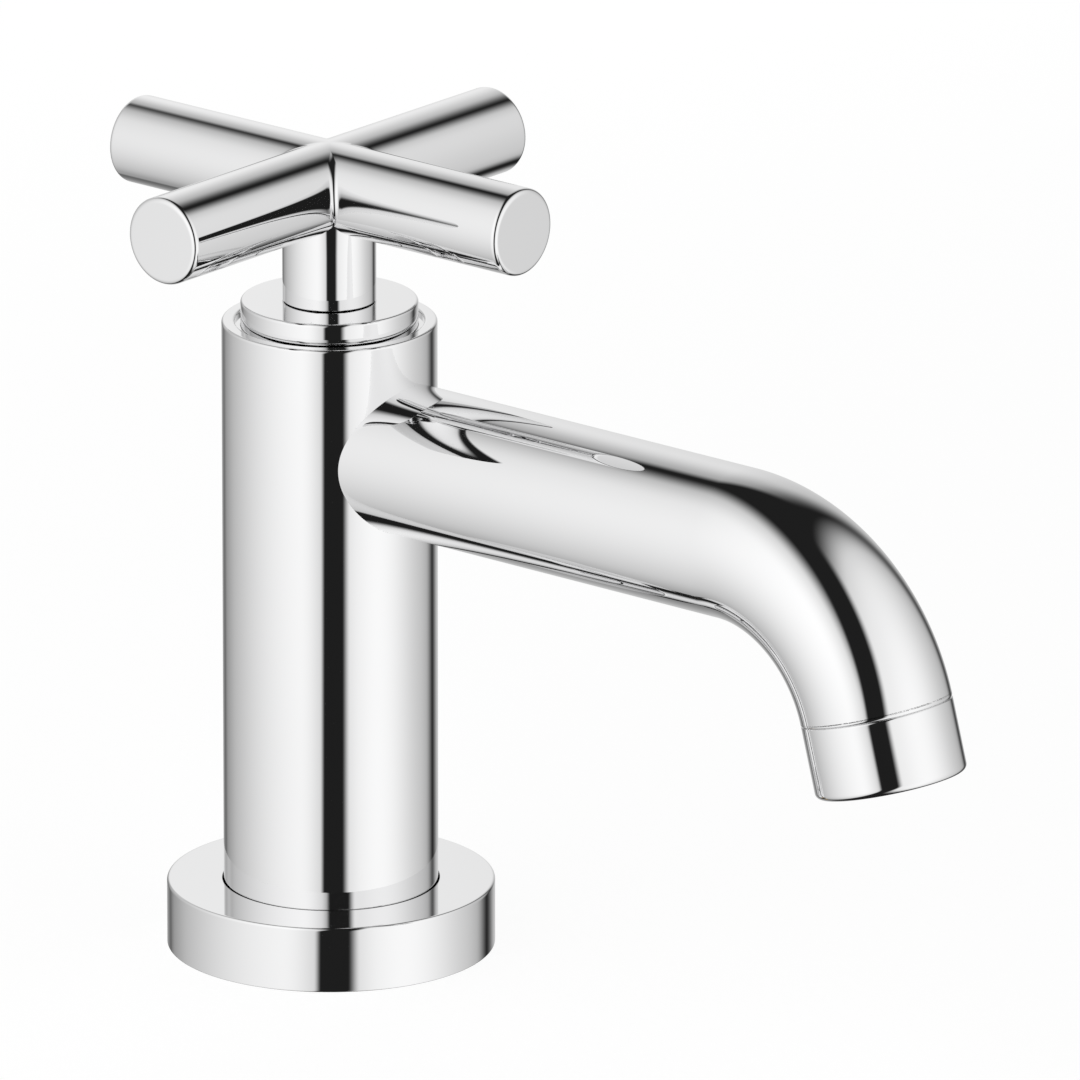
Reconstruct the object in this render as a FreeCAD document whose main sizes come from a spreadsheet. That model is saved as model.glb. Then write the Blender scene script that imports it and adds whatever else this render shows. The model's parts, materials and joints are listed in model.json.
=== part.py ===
"""Cross handle tap: one cold or hot supply, deck mounted, with a quarter-turn ceramic valve.

Millimetres. The origin is the centre of the deck face under the tap. +Z runs up the
column and the spout points towards -Y.
"""
import FreeCAD, Part
import math
import os
import re

import Sketcher

SCREEN_ROWS = 5  # openings of the outlet screen, each way
JET_RINGS = 2  # rings of jet holes, six more holes in each
SAME = 1e-6  # two lengths that differ by less are the same

# Driving dimensions: name, value, meaning.
SIZES = [
    # foot and deck fixing
    ("rosette_ledge", 9.0, "rosette beyond the column, all round"),
    ("rosette_height", 10.6, "rosette above the deck"),
    ("rosette_skin", 2.4, "wall of the hollow rosette"),
    ("rosette_hub", 2.6, "collar of the rosette round the column"),
    ("gasket_thickness", 1.6, "rubber ring between tap and deck"),
    ("thread_dia", 20.955, "major diameter of the G1/2 threads"),
    ("thread_depth", 1.162, "thread form of the G1/2 threads, crest to pitch, on the diameter"),
    ("shank_bore", 13.0, "waterway of the shank"),
    ("shank_drop", 55.0, "shank below the deck face"),
    ("shank_bevel", 0.8, "bevel on the shank's lower end"),
    ("shank_engagement", 11.4, "shank thread inside the column"),
    ("shank_nose", 4.0, "plain nose above that thread"),
    ("shank_seal_dia", 18.2, "column bore round the nose"),
    ("nose_gap", 0.5, "room above the nose"),
    ("foot_seal_section", 1.4, "section of the seals in rosette and shank"),
    ("deck_grip", 20.0, "room left for the deck"),
    ("washer_dia", 42.0, "steel washer under the deck"),
    ("rubber_inset", 0.5, "rubber washer short of the steel one, all round"),
    ("rubber_thickness", 3.0, "rubber washer"),
    ("steel_thickness", 1.5, "steel washer"),
    ("nut_across", 27.0, "backnut across flats"),
    ("nut_height", 8.0, "backnut"),
    ("nut_flange", 2.0, "round washer face of the backnut"),
    ("nut_face", 1.6, "washer face beyond the flats, all round"),
    # column
    ("column_lip", 2.1, "ring of metal round the recess in the column's top"),
    ("recess_depth", 3.0, "recess for the cover collar"),
    ("column_waterway", 18.0, "bore of the column below the seat"),
    ("seat_height", 68.0, "valve seat above the deck"),
    ("seat_bore", 10.4, "hole through the valve seat"),
    ("seat_bridge", 6.0, "thickness of the seat"),
    ("chamber_dia", 24.0, "chamber round the valve"),
    ("port_rise", 15.2, "spout axis above the seat"),
    ("port_margin", 0.7, "chamber above the port"),
    ("headpart_thread", 6.2, "thread that holds the headpart"),
    # spout
    ("spout_dia", 24.0, "outside of the spout tube"),
    ("spout_wall", 2.0, "wall of the spout tube"),
    ("spout_straight", 83.4, "column axis to the start of the bend"),
    ("bend_radius", 29.2, "centreline of the bend"),
    ("bend_angle", 74.6, "turn of the bend, degrees"),
    ("spigot_dia", 17.0, "stub of the spout inside the column wall"),
    ("spigot_bore", 13.0, "waterway through the stub"),
    ("root_plate", 3.0, "closed end of the tube at the saddle"),
    # aerator
    ("sleeve_length", 11.7, "aerator sleeve"),
    ("sleeve_wall", 1.3, "aerator sleeve round its thread"),
    ("sleeve_lip", 1.3, "inward lip that carries the insert"),
    ("sleeve_round", 1.0, "rounded rim of the sleeve"),
    ("nipple_length", 4.6, "threaded end of the spout inside the sleeve"),
    ("nipple_wall", 1.5, "wall of that threaded end"),
    ("insert_clearance", 0.3, "aerator insert inside the sleeve's thread"),
    ("insert_ledge", 0.8, "aerator insert inward of the nipple"),
    ("aerator_seal_thickness", 1.2, "flat ring above the insert"),
    ("jet_plate_thickness", 1.0, "plate with the jet holes"),
    ("jet_hole_dia", 1.1, "one jet hole"),
    ("jet_ring_pitch", 2.8, "spacing of the rings of jet holes, from the centre"),
    ("screen_thickness", 0.6, "outlet screen"),
    ("screen_bar", 0.75, "bar between two openings of the outlet screen"),
    ("screen_rim", 0.5, "rim of the screen outside the outlet"),
    # headpart
    ("seal_thickness", 2.0, "rubber seat ring"),
    ("basket_dia", 17.2, "lower end of the headpart"),
    ("basket_wall", 1.4, "wall of that end"),
    ("basket_lift", 0.6, "seat ring standing out below the basket"),
    ("disc_thickness", 3.5, "each ceramic disc"),
    ("port_half_angle", 40.0, "half the angle of one port in a disc, degrees"),
    ("port_inner", 2.4, "inner radius of a port"),
    ("port_outer", 5.3, "outer radius of a port"),
    ("blade_height", 9.0, "driver blade between disc and shoulder"),
    ("blade_width", 10.0, "driver blade, across"),
    ("blade_thickness", 2.9, "driver blade"),
    ("blade_sink", 2.0, "driver blade inside the moving disc"),
    ("window_width", 9.0, "side window of the headpart"),
    ("window_height", 7.0, "side window of the headpart"),
    ("shoulder_thickness", 2.0, "shoulder of the spindle"),
    ("slide_thickness", 0.8, "slide washer above the shoulder"),
    ("headpart_flange", 1.6, "flange on the column's ledge"),
    ("flange_width", 2.4, "flange beyond the thread, all round"),
    ("hex_across", 17.0, "hexagon of the headpart"),
    ("hex_height", 1.8, "hexagon above the flange"),
    ("seal_seat", 1.4, "counterbore for the headpart's seal"),
    # spindle
    ("spindle_dia", 8.8, "spindle in its bore"),
    ("spline_dia", 8.0, "splined end of the spindle"),
    ("spline_depth", 0.55, "depth of one spline groove"),
    ("spline_count", 20, "spline grooves"),
    ("spline_land", 0.2, "flat crest between two spline grooves"),
    ("spindle_bevel", 0.6, "bevel on the spindle's upper end"),
    ("spindle_gap", 0.5, "room above the spindle in the stem"),
    ("seal_section", 1.0, "section of the spindle seals"),
    ("seal_spacing", 3.2, "from one spindle seal to the next"),
    ("clip_thickness", 0.7, "spring clip"),
    ("clip_width", 1.9, "spring clip, radially"),
    ("clip_depth", 0.7, "spindle groove of the clip"),
    ("clip_opening", 60.0, "gap of the spring clip, degrees"),
    ("neck_dia", 6.4, "neck of the spindle under the set screw"),
    ("neck_room", 0.4, "neck beyond the set screw, each side"),
    # cover collar
    ("collar_dia", 28.0, "cover collar"),
    ("collar_gap", 0.9, "shadow gap round the collar"),
    ("collar_plate", 1.5, "top wall of the collar"),
    ("collar_headroom", 1.4, "room over the hexagon for the clip"),
    ("collar_clearance", 1.0, "hole of the collar round the spindle"),
    # handle
    ("handle_gap", 0.3, "running gap under the handle"),
    ("stem_dia", 14.8, "stem of the handle"),
    ("stem_length", 18.4, "end of the stem to the axis of the bars"),
    ("socket_dia", 9.6, "bore of the stem"),
    ("socket_depth", 11.0, "depth of that bore"),
    ("bar_dia", 14.0, "each bar of the cross"),
    ("bar_span", 80.0, "each bar from end to end"),
    ("bar_edge", 0.4, "bevel on the ends of the bars"),
    ("screw_dia", 4.0, "set screw"),
    ("screw_height", 4.6, "set screw above the end of the stem"),
    ("screw_inset", 0.6, "set screw below the surface of the stem"),
    ("screw_key", 2.0, "hexagon key of the set screw"),
    ("screw_key_depth", 1.6, "depth of that key"),
    ("adapter_inset", 0.4, "adapter bush inside the end of the stem"),
    # clearances and small edges
    ("edge_break", 0.25, "bevel on other outer edges"),
    ("seat_clearance", 0.05, "radial clearance of parts that are pushed together"),
    ("run_clearance", 0.06, "clearance of parts that turn on each other"),
    ("basket_clearance", 0.24, "radial clearance of what turns inside the basket"),
    ("loose_clearance", 0.2, "clearance of parts that are only laid together"),
    ("groove_room", 0.15, "seal groove beyond its seal, each side"),
    ("cut_overrun", 1.0, "how far a cut runs past the metal"),
    ("rubber_relief", 0.04, "gap that keeps a seal's round section off its groove"),
]

# Dimensions that follow from the ones above.
DERIVED = [
    ("thread_pitch_dia", "thread_dia - thread_depth"),
    ("column_dia", "collar_dia + 2 * (collar_gap + column_lip)"),
    ("rosette_dia", "column_dia + 2 * rosette_ledge"),
    ("nut_top", "-(deck_grip + rubber_thickness + steel_thickness)"),
    ("socket_top", "gasket_thickness + shank_engagement + shank_nose + nose_gap"),
    ("spout_axis", "seat_height + port_rise"),
    ("chamber_top", "spout_axis + spigot_dia / 2 + port_margin"),
    ("ledge_height", "chamber_top + headpart_thread + seal_seat"),
    ("column_height", "ledge_height + recess_depth"),
    ("flange_dia", "thread_pitch_dia + 2 * flange_width"),
    ("basket_bore", "basket_dia - 2 * basket_wall"),
    ("fixed_disc_base", "seat_height + seal_thickness"),
    ("moving_disc_base", "fixed_disc_base + disc_thickness + run_clearance"),
    ("disc_top", "moving_disc_base + disc_thickness"),
    ("shoulder_base", "disc_top + blade_height"),
    ("slide_base", "shoulder_base + shoulder_thickness + run_clearance"),
    ("bonnet_roof", "slide_base + slide_thickness"),
    ("bonnet_top", "ledge_height + headpart_flange + hex_height"),
    ("collar_roof", "bonnet_top + collar_headroom"),
    ("collar_top", "collar_roof + collar_plate"),
    ("stem_base", "collar_top + handle_gap"),
    ("bar_axis", "stem_base + stem_length"),
    ("socket_roof", "stem_base + socket_depth"),
    ("screw_axis", "stem_base + screw_height"),
    ("outlet_y", "-(spout_straight + bend_radius * sin(bend_angle * 1 deg))"),
    ("outlet_z", "spout_axis - bend_radius * (1 - cos(bend_angle * 1 deg))"),
    ("nipple_dia", "spout_dia - 2 * sleeve_wall"),
    ("insert_top", "-(nipple_length + aerator_seal_thickness)"),
    ("insert_base", "-(sleeve_length - sleeve_lip)"),
    ("insert_dia", "nipple_dia - 2 * insert_clearance"),
    ("insert_bore", "nipple_dia - 2 * (nipple_wall + insert_ledge)"),
    ("screen_pitch", f"(insert_bore / sqrt(2) + screen_bar) / {SCREEN_ROWS}"),
    ("screen_slot", "screen_pitch - screen_bar"),
]

doc = FreeCAD.newDocument("CrossHandleTap")
sheet = doc.addObject("Spreadsheet::Sheet", "Sizes")
for row, (alias, number, meaning) in enumerate(SIZES, start=1):
    sheet.set(f"A{row}", alias)
    sheet.set(f"B{row}", str(number))
    sheet.set(f"C{row}", meaning)
    sheet.setAlias(f"B{row}", alias)
for row, (alias, formula) in enumerate(DERIVED, start=len(SIZES) + 1):
    sheet.set(f"A{row}", alias)
    sheet.set(f"B{row}", "=" + formula)
    sheet.setAlias(f"B{row}", alias)
doc.recompute()
ALIASES = {entry[0] for entry in SIZES + DERIVED}


def linked(text):
    """The expression with each size's name pointing at the sheet."""
    return re.sub(r"[a-z_]+", lambda w: f"Sizes.{w[0]}" if w[0] in ALIASES else w[0], text)


def number_of(text):
    """The expression's value now."""
    result = sheet.evalExpression(text)
    return float(getattr(result, "Value", result))


def new_body(label):
    """An empty body for one sub-part."""
    body = doc.addObject("PartDesign::Body", label)
    body.Label = label
    return body


def new_sketch(body, role, lift=None):
    """A sketch on one of the body's own planes, moved along its normal by an expression."""
    name = f"{body.Name}_sketch"
    sketch = body.newObject("Sketcher::SketchObject", name)
    plane = next(p for p in body.Origin.OriginFeatures if p.Role == role)
    sketch.AttachmentSupport = (plane, [""])
    sketch.MapMode = "FlatFace"
    if lift is not None:
        sketch.setExpression(".AttachmentOffset.Base.z", linked(lift))
    return sketch


def hold_point(sketch, geometry, point, across, up):
    """Fix a point of the sketch by its two coordinates."""
    for kind, text in (("DistanceX", across), ("DistanceY", up)):
        rule = Sketcher.Constraint(kind, -1, 1, geometry, point, number_of(text))
        index = sketch.addConstraint(rule)
        sketch.setExpression(f"Constraints[{index}]", linked(text))


def add_outline(sketch, corners):
    """A closed outline with straight sides through the corners."""
    first = sketch.GeometryCount
    count = len(corners)
    spots = [FreeCAD.Vector(number_of(x), number_of(y), 0) for x, y in corners]
    for k in range(count):
        sketch.addGeometry(Part.LineSegment(spots[k], spots[(k + 1) % count]), False)
    for k in range(count):
        after = first + (k + 1) % count
        sketch.addConstraint(Sketcher.Constraint("Coincident", first + k, 2, after, 1))
    for k, (across, up) in enumerate(corners):
        hold_point(sketch, first + k, 1, across, up)


def add_circle(sketch, radius, across="0", up="0"):
    """A circle."""
    centre = FreeCAD.Vector(number_of(across), number_of(up), 0)
    normal = FreeCAD.Vector(0, 0, 1)
    geometry = sketch.addGeometry(Part.Circle(centre, normal, number_of(radius)), False)
    hold_point(sketch, geometry, 3, across, up)
    index = sketch.addConstraint(Sketcher.Constraint("Radius", geometry, number_of(radius)))
    sketch.setExpression(f"Constraints[{index}]", linked(radius))


def add_sector(sketch, inner, outer, half_angle):
    """A ring sector about the origin, centred on the sketch's X axis."""
    half = math.radians(number_of(half_angle))
    origin = FreeCAD.Vector(0, 0, 0)
    normal = FreeCAD.Vector(0, 0, 1)
    arcs = []
    for radius in (inner, outer):
        circle = Part.Circle(origin, normal, number_of(radius))
        arc = sketch.addGeometry(Part.ArcOfCircle(circle, -half, half), False)
        sketch.addConstraint(Sketcher.Constraint("Coincident", arc, 3, -1, 1))
        index = sketch.addConstraint(Sketcher.Constraint("Radius", arc, number_of(radius)))
        sketch.setExpression(f"Constraints[{index}]", linked(radius))
        for point, sign in ((1, "-"), (2, "")):
            height = f"{sign}({radius}) * sin({half_angle} * 1 deg)"
            rule = Sketcher.Constraint("DistanceY", -1, 1, arc, point, number_of(height))
            index = sketch.addConstraint(rule)
            sketch.setExpression(f"Constraints[{index}]", linked(height))
        arcs.append(arc)
    for point in (1, 2):
        ends = [sketch.getPoint(arc, point) for arc in arcs]
        side = sketch.addGeometry(Part.LineSegment(*ends), False)
        sketch.addConstraint(Sketcher.Constraint("Coincident", side, 1, arcs[0], point))
        sketch.addConstraint(Sketcher.Constraint("Coincident", side, 2, arcs[1], point))


def turn(body, corners, cut=False):
    """Add or cut a turned form: radius and height corners, revolved about the vertical axis."""
    sketch = new_sketch(body, "XZ_Plane")
    add_outline(sketch, corners)
    kind = "PartDesign::Groove" if cut else "PartDesign::Revolution"
    feature = body.newObject(kind, f"{body.Name}_turned")
    feature.Profile = sketch
    feature.ReferenceAxis = (sketch, ["V_Axis"])
    feature.Angle = 360
    sketch.Visibility = False
    return feature


def extrude(body, sketch, length=None, cut=False, flip=False, both_ways=False):
    """Pad or pocket a sketch by an expression, or right through when no length is given."""
    kind = "PartDesign::Pocket" if cut else "PartDesign::Pad"
    feature = body.newObject(kind, f"{body.Name}_cut" if cut else f"{body.Name}_pad")
    feature.Profile = sketch
    if length is None:
        feature.Type = "ThroughAll"
    else:
        feature.setExpression("Length", linked(length))
    feature.Midplane = both_ways
    feature.Reversed = flip
    return feature


def turned_part(label, corners):
    """A sub-part that is one turned form."""
    body = new_body(label)
    turn(body, corners)
    return body


def ring_part(label, inner, outer, base, top):
    """A flat ring between two heights."""
    corners = [(inner, base), (outer, base), (outer, top), (inner, top)]
    return turned_part(label, corners)


def seal_ring(label, inner, outer, height):
    """A round-section rubber ring between an inner and an outer radius, at a height."""
    ring = doc.addObject("Part::Torus", label)
    ring.Label = label
    ring.setExpression("Radius1", linked(f"(({inner}) + ({outer})) / 2"))
    ring.setExpression("Radius2", linked(f"(({outer}) - ({inner})) / 2 - rubber_relief"))
    ring.setExpression(".Placement.Base.z", linked(height))
    return ring


def hexagon(across):
    """Corners of a hexagon from its size across the flats."""
    corner = f"({across}) / sqrt(3)"
    turns = range(0, 360, 60)
    return [(f"{corner} * cos({a} deg)", f"{corner} * sin({a} deg)") for a in turns]


def repeat_round(body, feature, count, axis=("N_Axis",)):
    """Repeat a feature round the axis of its sketch."""
    pattern = body.newObject("PartDesign::PolarPattern", f"{body.Name}_pattern")
    pattern.Originals = [feature]
    pattern.Axis = (feature.Profile[0], list(axis))
    pattern.Angle = 360
    if isinstance(count, str):
        pattern.setExpression("Occurrences", linked(count))
    else:
        pattern.Occurrences = count
    body.Tip = pattern
    return pattern


def outlet_tilt():
    """The tilt of the spout's end, as a placement whose place and angle are then linked."""
    angle = number_of("bend_angle") - 90
    return FreeCAD.Placement(
        FreeCAD.Vector(0, 0, 0), FreeCAD.Rotation(FreeCAD.Vector(1, 0, 0), angle)
    )


def at_outlet(body):
    """Put a sub-part that was modelled hanging below the origin on the spout's end."""
    body.Placement = outlet_tilt()
    body.setExpression(".Placement.Base.y", linked("outlet_y"))
    body.setExpression(".Placement.Base.z", linked("outlet_z"))
    body.setExpression(".Placement.Rotation.Angle", linked("(bend_angle - 90) * 1 deg"))
    return body


# ---------------------------------------------------------------- foot and deck fixing


def make_base_rosette():
    """Hollow cover ring with a hub that grips the column through a seal ring."""
    hub = "column_dia / 2 + seat_clearance"
    rim = "rosette_dia / 2"
    wall = "rosette_dia / 2 - rosette_skin"
    hub_outside = "column_dia / 2 + rosette_hub"
    foot = "gasket_thickness + loose_clearance"
    groove = "column_dia / 2 + foot_seal_section"
    groove_low = "rosette_height / 2 - foot_seal_section / 2 - groove_room"
    groove_high = "rosette_height / 2 + foot_seal_section / 2 + groove_room"
    return turned_part(
        "base_rosette",
        [
            (hub, foot),
            (hub_outside, foot),
            (hub_outside, "rosette_height - rosette_skin"),
            (wall, "rosette_height - rosette_skin"),
            (wall, "0"),
            (rim, "0"),
            (rim, "rosette_height - edge_break"),
            (f"{rim} - edge_break", "rosette_height"),
            (hub, "rosette_height"),
            (hub, groove_high),
            (groove, groove_high),
            (groove, groove_low),
            (hub, groove_low),
        ],
    )


def make_rosette_o_ring():
    """Seal ring in the rosette's groove, round the column."""
    return seal_ring(
        "rosette_o_ring",
        "column_dia / 2",
        "column_dia / 2 + foot_seal_section",
        "rosette_height / 2",
    )


def make_deck_gasket():
    """Flat rubber ring inside the rosette's rim, under the column."""
    return ring_part(
        "deck_gasket",
        "thread_dia / 2 + loose_clearance",
        "rosette_dia / 2 - rosette_skin - loose_clearance",
        "0",
        "gasket_thickness",
    )


def make_threaded_shank():
    """Hollow shank. Where it is screwed into something, its outline is the pitch diameter."""
    crest = "thread_dia / 2"
    pitch = "thread_pitch_dia / 2"
    bore = "shank_bore / 2"
    nose = "shank_seal_dia / 2 - seat_clearance"
    groove = "shank_seal_dia / 2 - foot_seal_section"
    thread_top = "gasket_thickness + shank_engagement"
    nose_top = "gasket_thickness + shank_engagement + shank_nose"
    middle = "gasket_thickness + shank_engagement + shank_nose / 2"
    groove_low = f"{middle} - foot_seal_section / 2 - groove_room"
    groove_high = f"{middle} + foot_seal_section / 2 + groove_room"
    return turned_part(
        "threaded_shank",
        [
            (bore, "-shank_drop"),
            (f"{crest} - shank_bevel", "-shank_drop"),
            (crest, "-shank_drop + shank_bevel"),
            (crest, "nut_top - nut_height"),
            (pitch, "nut_top - nut_height"),
            (pitch, "nut_top"),
            (crest, "nut_top"),
            (crest, "gasket_thickness"),
            (pitch, "gasket_thickness"),
            (pitch, thread_top),
            (nose, thread_top),
            (nose, groove_low),
            (groove, groove_low),
            (groove, groove_high),
            (nose, groove_high),
            (nose, nose_top),
            (bore, nose_top),
        ],
    )


def make_shank_o_ring():
    """Seal ring on the shank's nose."""
    return seal_ring(
        "shank_o_ring",
        "shank_seal_dia / 2 - foot_seal_section",
        "shank_seal_dia / 2",
        "gasket_thickness + shank_engagement + shank_nose / 2",
    )


def make_rubber_washer():
    """Rubber washer that bears on the underside of the deck."""
    return ring_part(
        "rubber_washer",
        "thread_dia / 2 + loose_clearance",
        "washer_dia / 2 - rubber_inset",
        "-(deck_grip + rubber_thickness)",
        "-deck_grip",
    )


def make_fixing_washer():
    """Steel washer between rubber and nut."""
    return ring_part(
        "fixing_washer",
        "thread_dia / 2 + loose_clearance",
        "washer_dia / 2",
        "nut_top",
        "-(deck_grip + rubber_thickness)",
    )


def make_backnut():
    """Hexagon nut with a round washer face and bevelled corners."""
    body = new_body("backnut")
    bore = "thread_pitch_dia / 2"
    face = "nut_across / 2 + nut_face"
    turn(
        body,
        [
            (bore, "nut_top - nut_flange"),
            (face, "nut_top - nut_flange"),
            (face, "nut_top"),
            (bore, "nut_top"),
        ],
    )
    sketch = new_sketch(body, "XY_Plane", "nut_top - nut_height")
    add_outline(sketch, hexagon("nut_across"))
    add_circle(sketch, bore)
    extrude(body, sketch, "nut_height - nut_flange")
    outside = "nut_across / sqrt(3) + cut_overrun"
    flat = "nut_across / 2"
    turn(
        body,
        [
            (flat, "nut_top - nut_height"),
            (outside, "nut_top - nut_height"),
            (outside, f"nut_top - nut_height + ({outside} - {flat}) / 2"),
        ],
        cut=True,
    )
    return body


# ---------------------------------------------------------------- column and spout


def make_column_body():
    """Turned column: shank socket, waterway, valve seat, chamber, thread and collar recess."""
    body = new_body("column_body")
    outside = "column_dia / 2"
    recess = "column_dia / 2 - column_lip"
    pitch = "thread_pitch_dia / 2"
    counterbore = "thread_pitch_dia / 2 + seal_seat + loose_clearance"
    thread_end = "gasket_thickness + shank_engagement"
    turn(
        body,
        [
            (pitch, "gasket_thickness"),
            (outside, "gasket_thickness"),
            (outside, "column_height - edge_break"),
            (f"{outside} - edge_break", "column_height"),
            (f"{recess} + edge_break", "column_height"),
            (recess, "column_height - edge_break"),
            (recess, "ledge_height"),
            (counterbore, "ledge_height"),
            (counterbore, "ledge_height - seal_seat"),
            (pitch, "ledge_height - seal_seat"),
            (pitch, "chamber_top"),
            ("chamber_dia / 2", "chamber_top"),
            ("chamber_dia / 2", "seat_height"),
            ("seat_bore / 2", "seat_height"),
            ("seat_bore / 2", "seat_height - seat_bridge"),
            ("column_waterway / 2", "seat_height - seat_bridge"),
            ("column_waterway / 2", "socket_top"),
            ("shank_seal_dia / 2", "socket_top"),
            ("shank_seal_dia / 2", thread_end),
            (pitch, thread_end),
        ],
    )
    port = new_sketch(body, "XZ_Plane")
    add_circle(port, "spigot_dia / 2 + seat_clearance", "0", "spout_axis")
    extrude(body, port, "column_dia", cut=True, flip=True)
    return body


def add_spout_path(body):
    """Centreline of the spout: a straight run and the bend, in the plane of the spout."""
    sketch = new_sketch(body, "YZ_Plane")
    run_end = FreeCAD.Vector(-number_of("spout_straight"), number_of("spout_axis"), 0)
    start = FreeCAD.Vector(0, number_of("spout_axis"), 0)
    radius = number_of("bend_radius")
    centre = run_end - FreeCAD.Vector(0, radius, 0)
    quarter = math.pi / 2
    sweep = math.radians(number_of("bend_angle"))
    line = sketch.addGeometry(Part.LineSegment(start, run_end), False)
    circle = Part.Circle(centre, FreeCAD.Vector(0, 0, 1), radius)
    arc = sketch.addGeometry(Part.ArcOfCircle(circle, quarter, quarter + sweep), False)
    sketch.addConstraint(Sketcher.Constraint("Coincident", line, 2, arc, 1))
    hold_point(sketch, line, 1, "0", "spout_axis")
    hold_point(sketch, line, 2, "-spout_straight", "spout_axis")
    hold_point(sketch, arc, 3, "-spout_straight", "spout_axis - bend_radius")
    rule = Sketcher.Constraint("DistanceY", -1, 1, arc, 2, number_of("outlet_z"))
    index = sketch.addConstraint(rule)
    sketch.setExpression(f"Constraints[{index}]", linked("outlet_z"))
    return sketch


def make_spout_tube():
    """Bent tube, saddled onto the column, with a stub through its wall and a threaded end."""
    body = new_body("spout_tube")
    path = add_spout_path(body)
    tube_bore = "spout_dia / 2 - spout_wall"
    for kind, radius in (("Additive", "spout_dia / 2"), ("Subtractive", tube_bore)):
        section = new_sketch(body, "XZ_Plane")
        add_circle(section, radius, "0", "spout_axis")
        pipe = body.newObject(f"PartDesign::{kind}Pipe", f"spout_{kind}")
        pipe.Profile = section
        pipe.Spine = (path, ["Edge1", "Edge2"])
        doc.recompute()
    plug = new_sketch(body, "XZ_Plane")
    add_circle(plug, "spout_dia / 2 - spout_wall / 2", "0", "spout_axis")
    extrude(body, plug, "column_dia / 2 + root_plate")
    saddle = "column_dia / 2"
    turn(
        body,
        [
            ("0", "spout_axis - spout_dia"),
            (saddle, "spout_axis - spout_dia"),
            (saddle, "spout_axis + spout_dia"),
            ("0", "spout_axis + spout_dia"),
        ],
        cut=True,
    )
    stub = new_sketch(body, "XZ_Plane", "chamber_dia / 2 + loose_clearance")
    add_circle(stub, "spigot_dia / 2", "0", "spout_axis")
    extrude(body, stub, "(column_dia - chamber_dia) / 2 + root_plate / 2")
    bore = new_sketch(body, "XZ_Plane")
    add_circle(bore, "spigot_bore / 2", "0", "spout_axis")
    extrude(body, bore, "column_dia / 2 + root_plate + cut_overrun", cut=True, flip=True)
    nipple = new_sketch(body, "XY_Plane")
    nipple.AttachmentOffset = outlet_tilt()
    nipple.setExpression(".AttachmentOffset.Base.z", linked("outlet_z"))
    nipple.setExpression(".AttachmentOffset.Base.y", linked("outlet_y"))
    nipple.setExpression(".AttachmentOffset.Rotation.Angle", linked("(bend_angle - 90) * 1 deg"))
    add_circle(nipple, "nipple_dia / 2")
    add_circle(nipple, "nipple_dia / 2 - nipple_wall")
    extrude(body, nipple, "nipple_length", flip=True)
    return body


# ---------------------------------------------------------------- aerator


def make_aerator_sleeve():
    """Threaded ring, flush with the tube, whose lip holds the insert. Its rim is rounded."""
    body = new_body("aerator_sleeve")
    outside = "spout_dia / 2"
    thread = "nipple_dia / 2"
    lip = "insert_bore / 2"
    end = "-sleeve_length"
    turn(
        body,
        [
            (lip, end),
            (outside, end),
            (outside, "0"),
            (thread, "0"),
            (thread, "insert_base"),
            (lip, "insert_base"),
        ],
    )
    doc.recompute()
    rim = [
        f"Edge{k}"
        for k, edge in enumerate(body.Shape.Edges, start=1)
        if abs(edge.BoundBox.ZMax - number_of(end)) < SAME
        and abs(edge.BoundBox.XMax - number_of(outside)) < SAME
    ]
    base = body.Tip
    rounding = body.newObject("PartDesign::Fillet", "aerator_sleeve_rim")
    rounding.Base = (base, rim)
    rounding.setExpression("Radius", linked("sleeve_round"))
    return at_outlet(body)


def make_aerator_seal():
    """Flat ring between the spout's end and the insert."""
    return at_outlet(
        ring_part(
            "aerator_seal",
            "insert_bore / 2",
            "insert_dia / 2",
            "insert_top",
            "-nipple_length",
        )
    )


def make_aerator_cage():
    """Cage of the insert: an outer wall between the jet plate and the sleeve's lip."""
    return at_outlet(
        turned_part(
            "aerator_cage",
            [
                ("insert_bore / 2 + screen_rim", "insert_base"),
                ("insert_dia / 2", "insert_base"),
                ("insert_dia / 2", "insert_top - jet_plate_thickness"),
                ("insert_bore / 2 + screen_rim", "insert_top - jet_plate_thickness"),
            ],
        )
    )


def make_aerator_jet_plate():
    """Plate with rings of jet holes."""
    body = ring_part(
        "aerator_jet_plate",
        "0",
        "insert_dia / 2",
        "insert_top - jet_plate_thickness",
        "insert_top",
    )
    for ring in range(1, JET_RINGS + 1):
        hole = new_sketch(body, "XY_Plane", "insert_top")
        add_circle(hole, "jet_hole_dia / 2", f"jet_ring_pitch * {ring}")
        cut = extrude(body, hole, "jet_plate_thickness", cut=True)
        repeat_round(body, cut, 6 * ring)
    return at_outlet(body)


def make_aerator_screen():
    """Outlet screen: a disc with a square grid of openings."""
    body = ring_part(
        "aerator_screen",
        "0",
        "insert_bore / 2 + screen_rim",
        "insert_base",
        "insert_base + screen_thickness",
    )
    openings = new_sketch(body, "XY_Plane", "insert_base + screen_thickness")
    half = "screen_slot / 2"
    reach = SCREEN_ROWS // 2
    x = f"-{reach} * screen_pitch"
    for row in range(-reach, reach + 1):
        y = f"screen_pitch * {row}"
        corners = [
            (f"{x} - {half}", f"{y} - {half}"),
            (f"{x} + {half}", f"{y} - {half}"),
            (f"{x} + {half}", f"{y} + {half}"),
            (f"{x} - {half}", f"{y} + {half}"),
        ]
        add_outline(openings, corners)
    cut = extrude(body, openings, "screen_thickness", cut=True)
    grid = body.newObject("PartDesign::LinearPattern", "aerator_screen_grid")
    grid.Originals = [cut]
    grid.Direction = (openings, ["H_Axis"])
    grid.setExpression("Length", linked(f"{SCREEN_ROWS - 1} * screen_pitch"))
    grid.Occurrences = SCREEN_ROWS
    body.Tip = grid
    return at_outlet(body)


# ---------------------------------------------------------------- headpart


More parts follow.
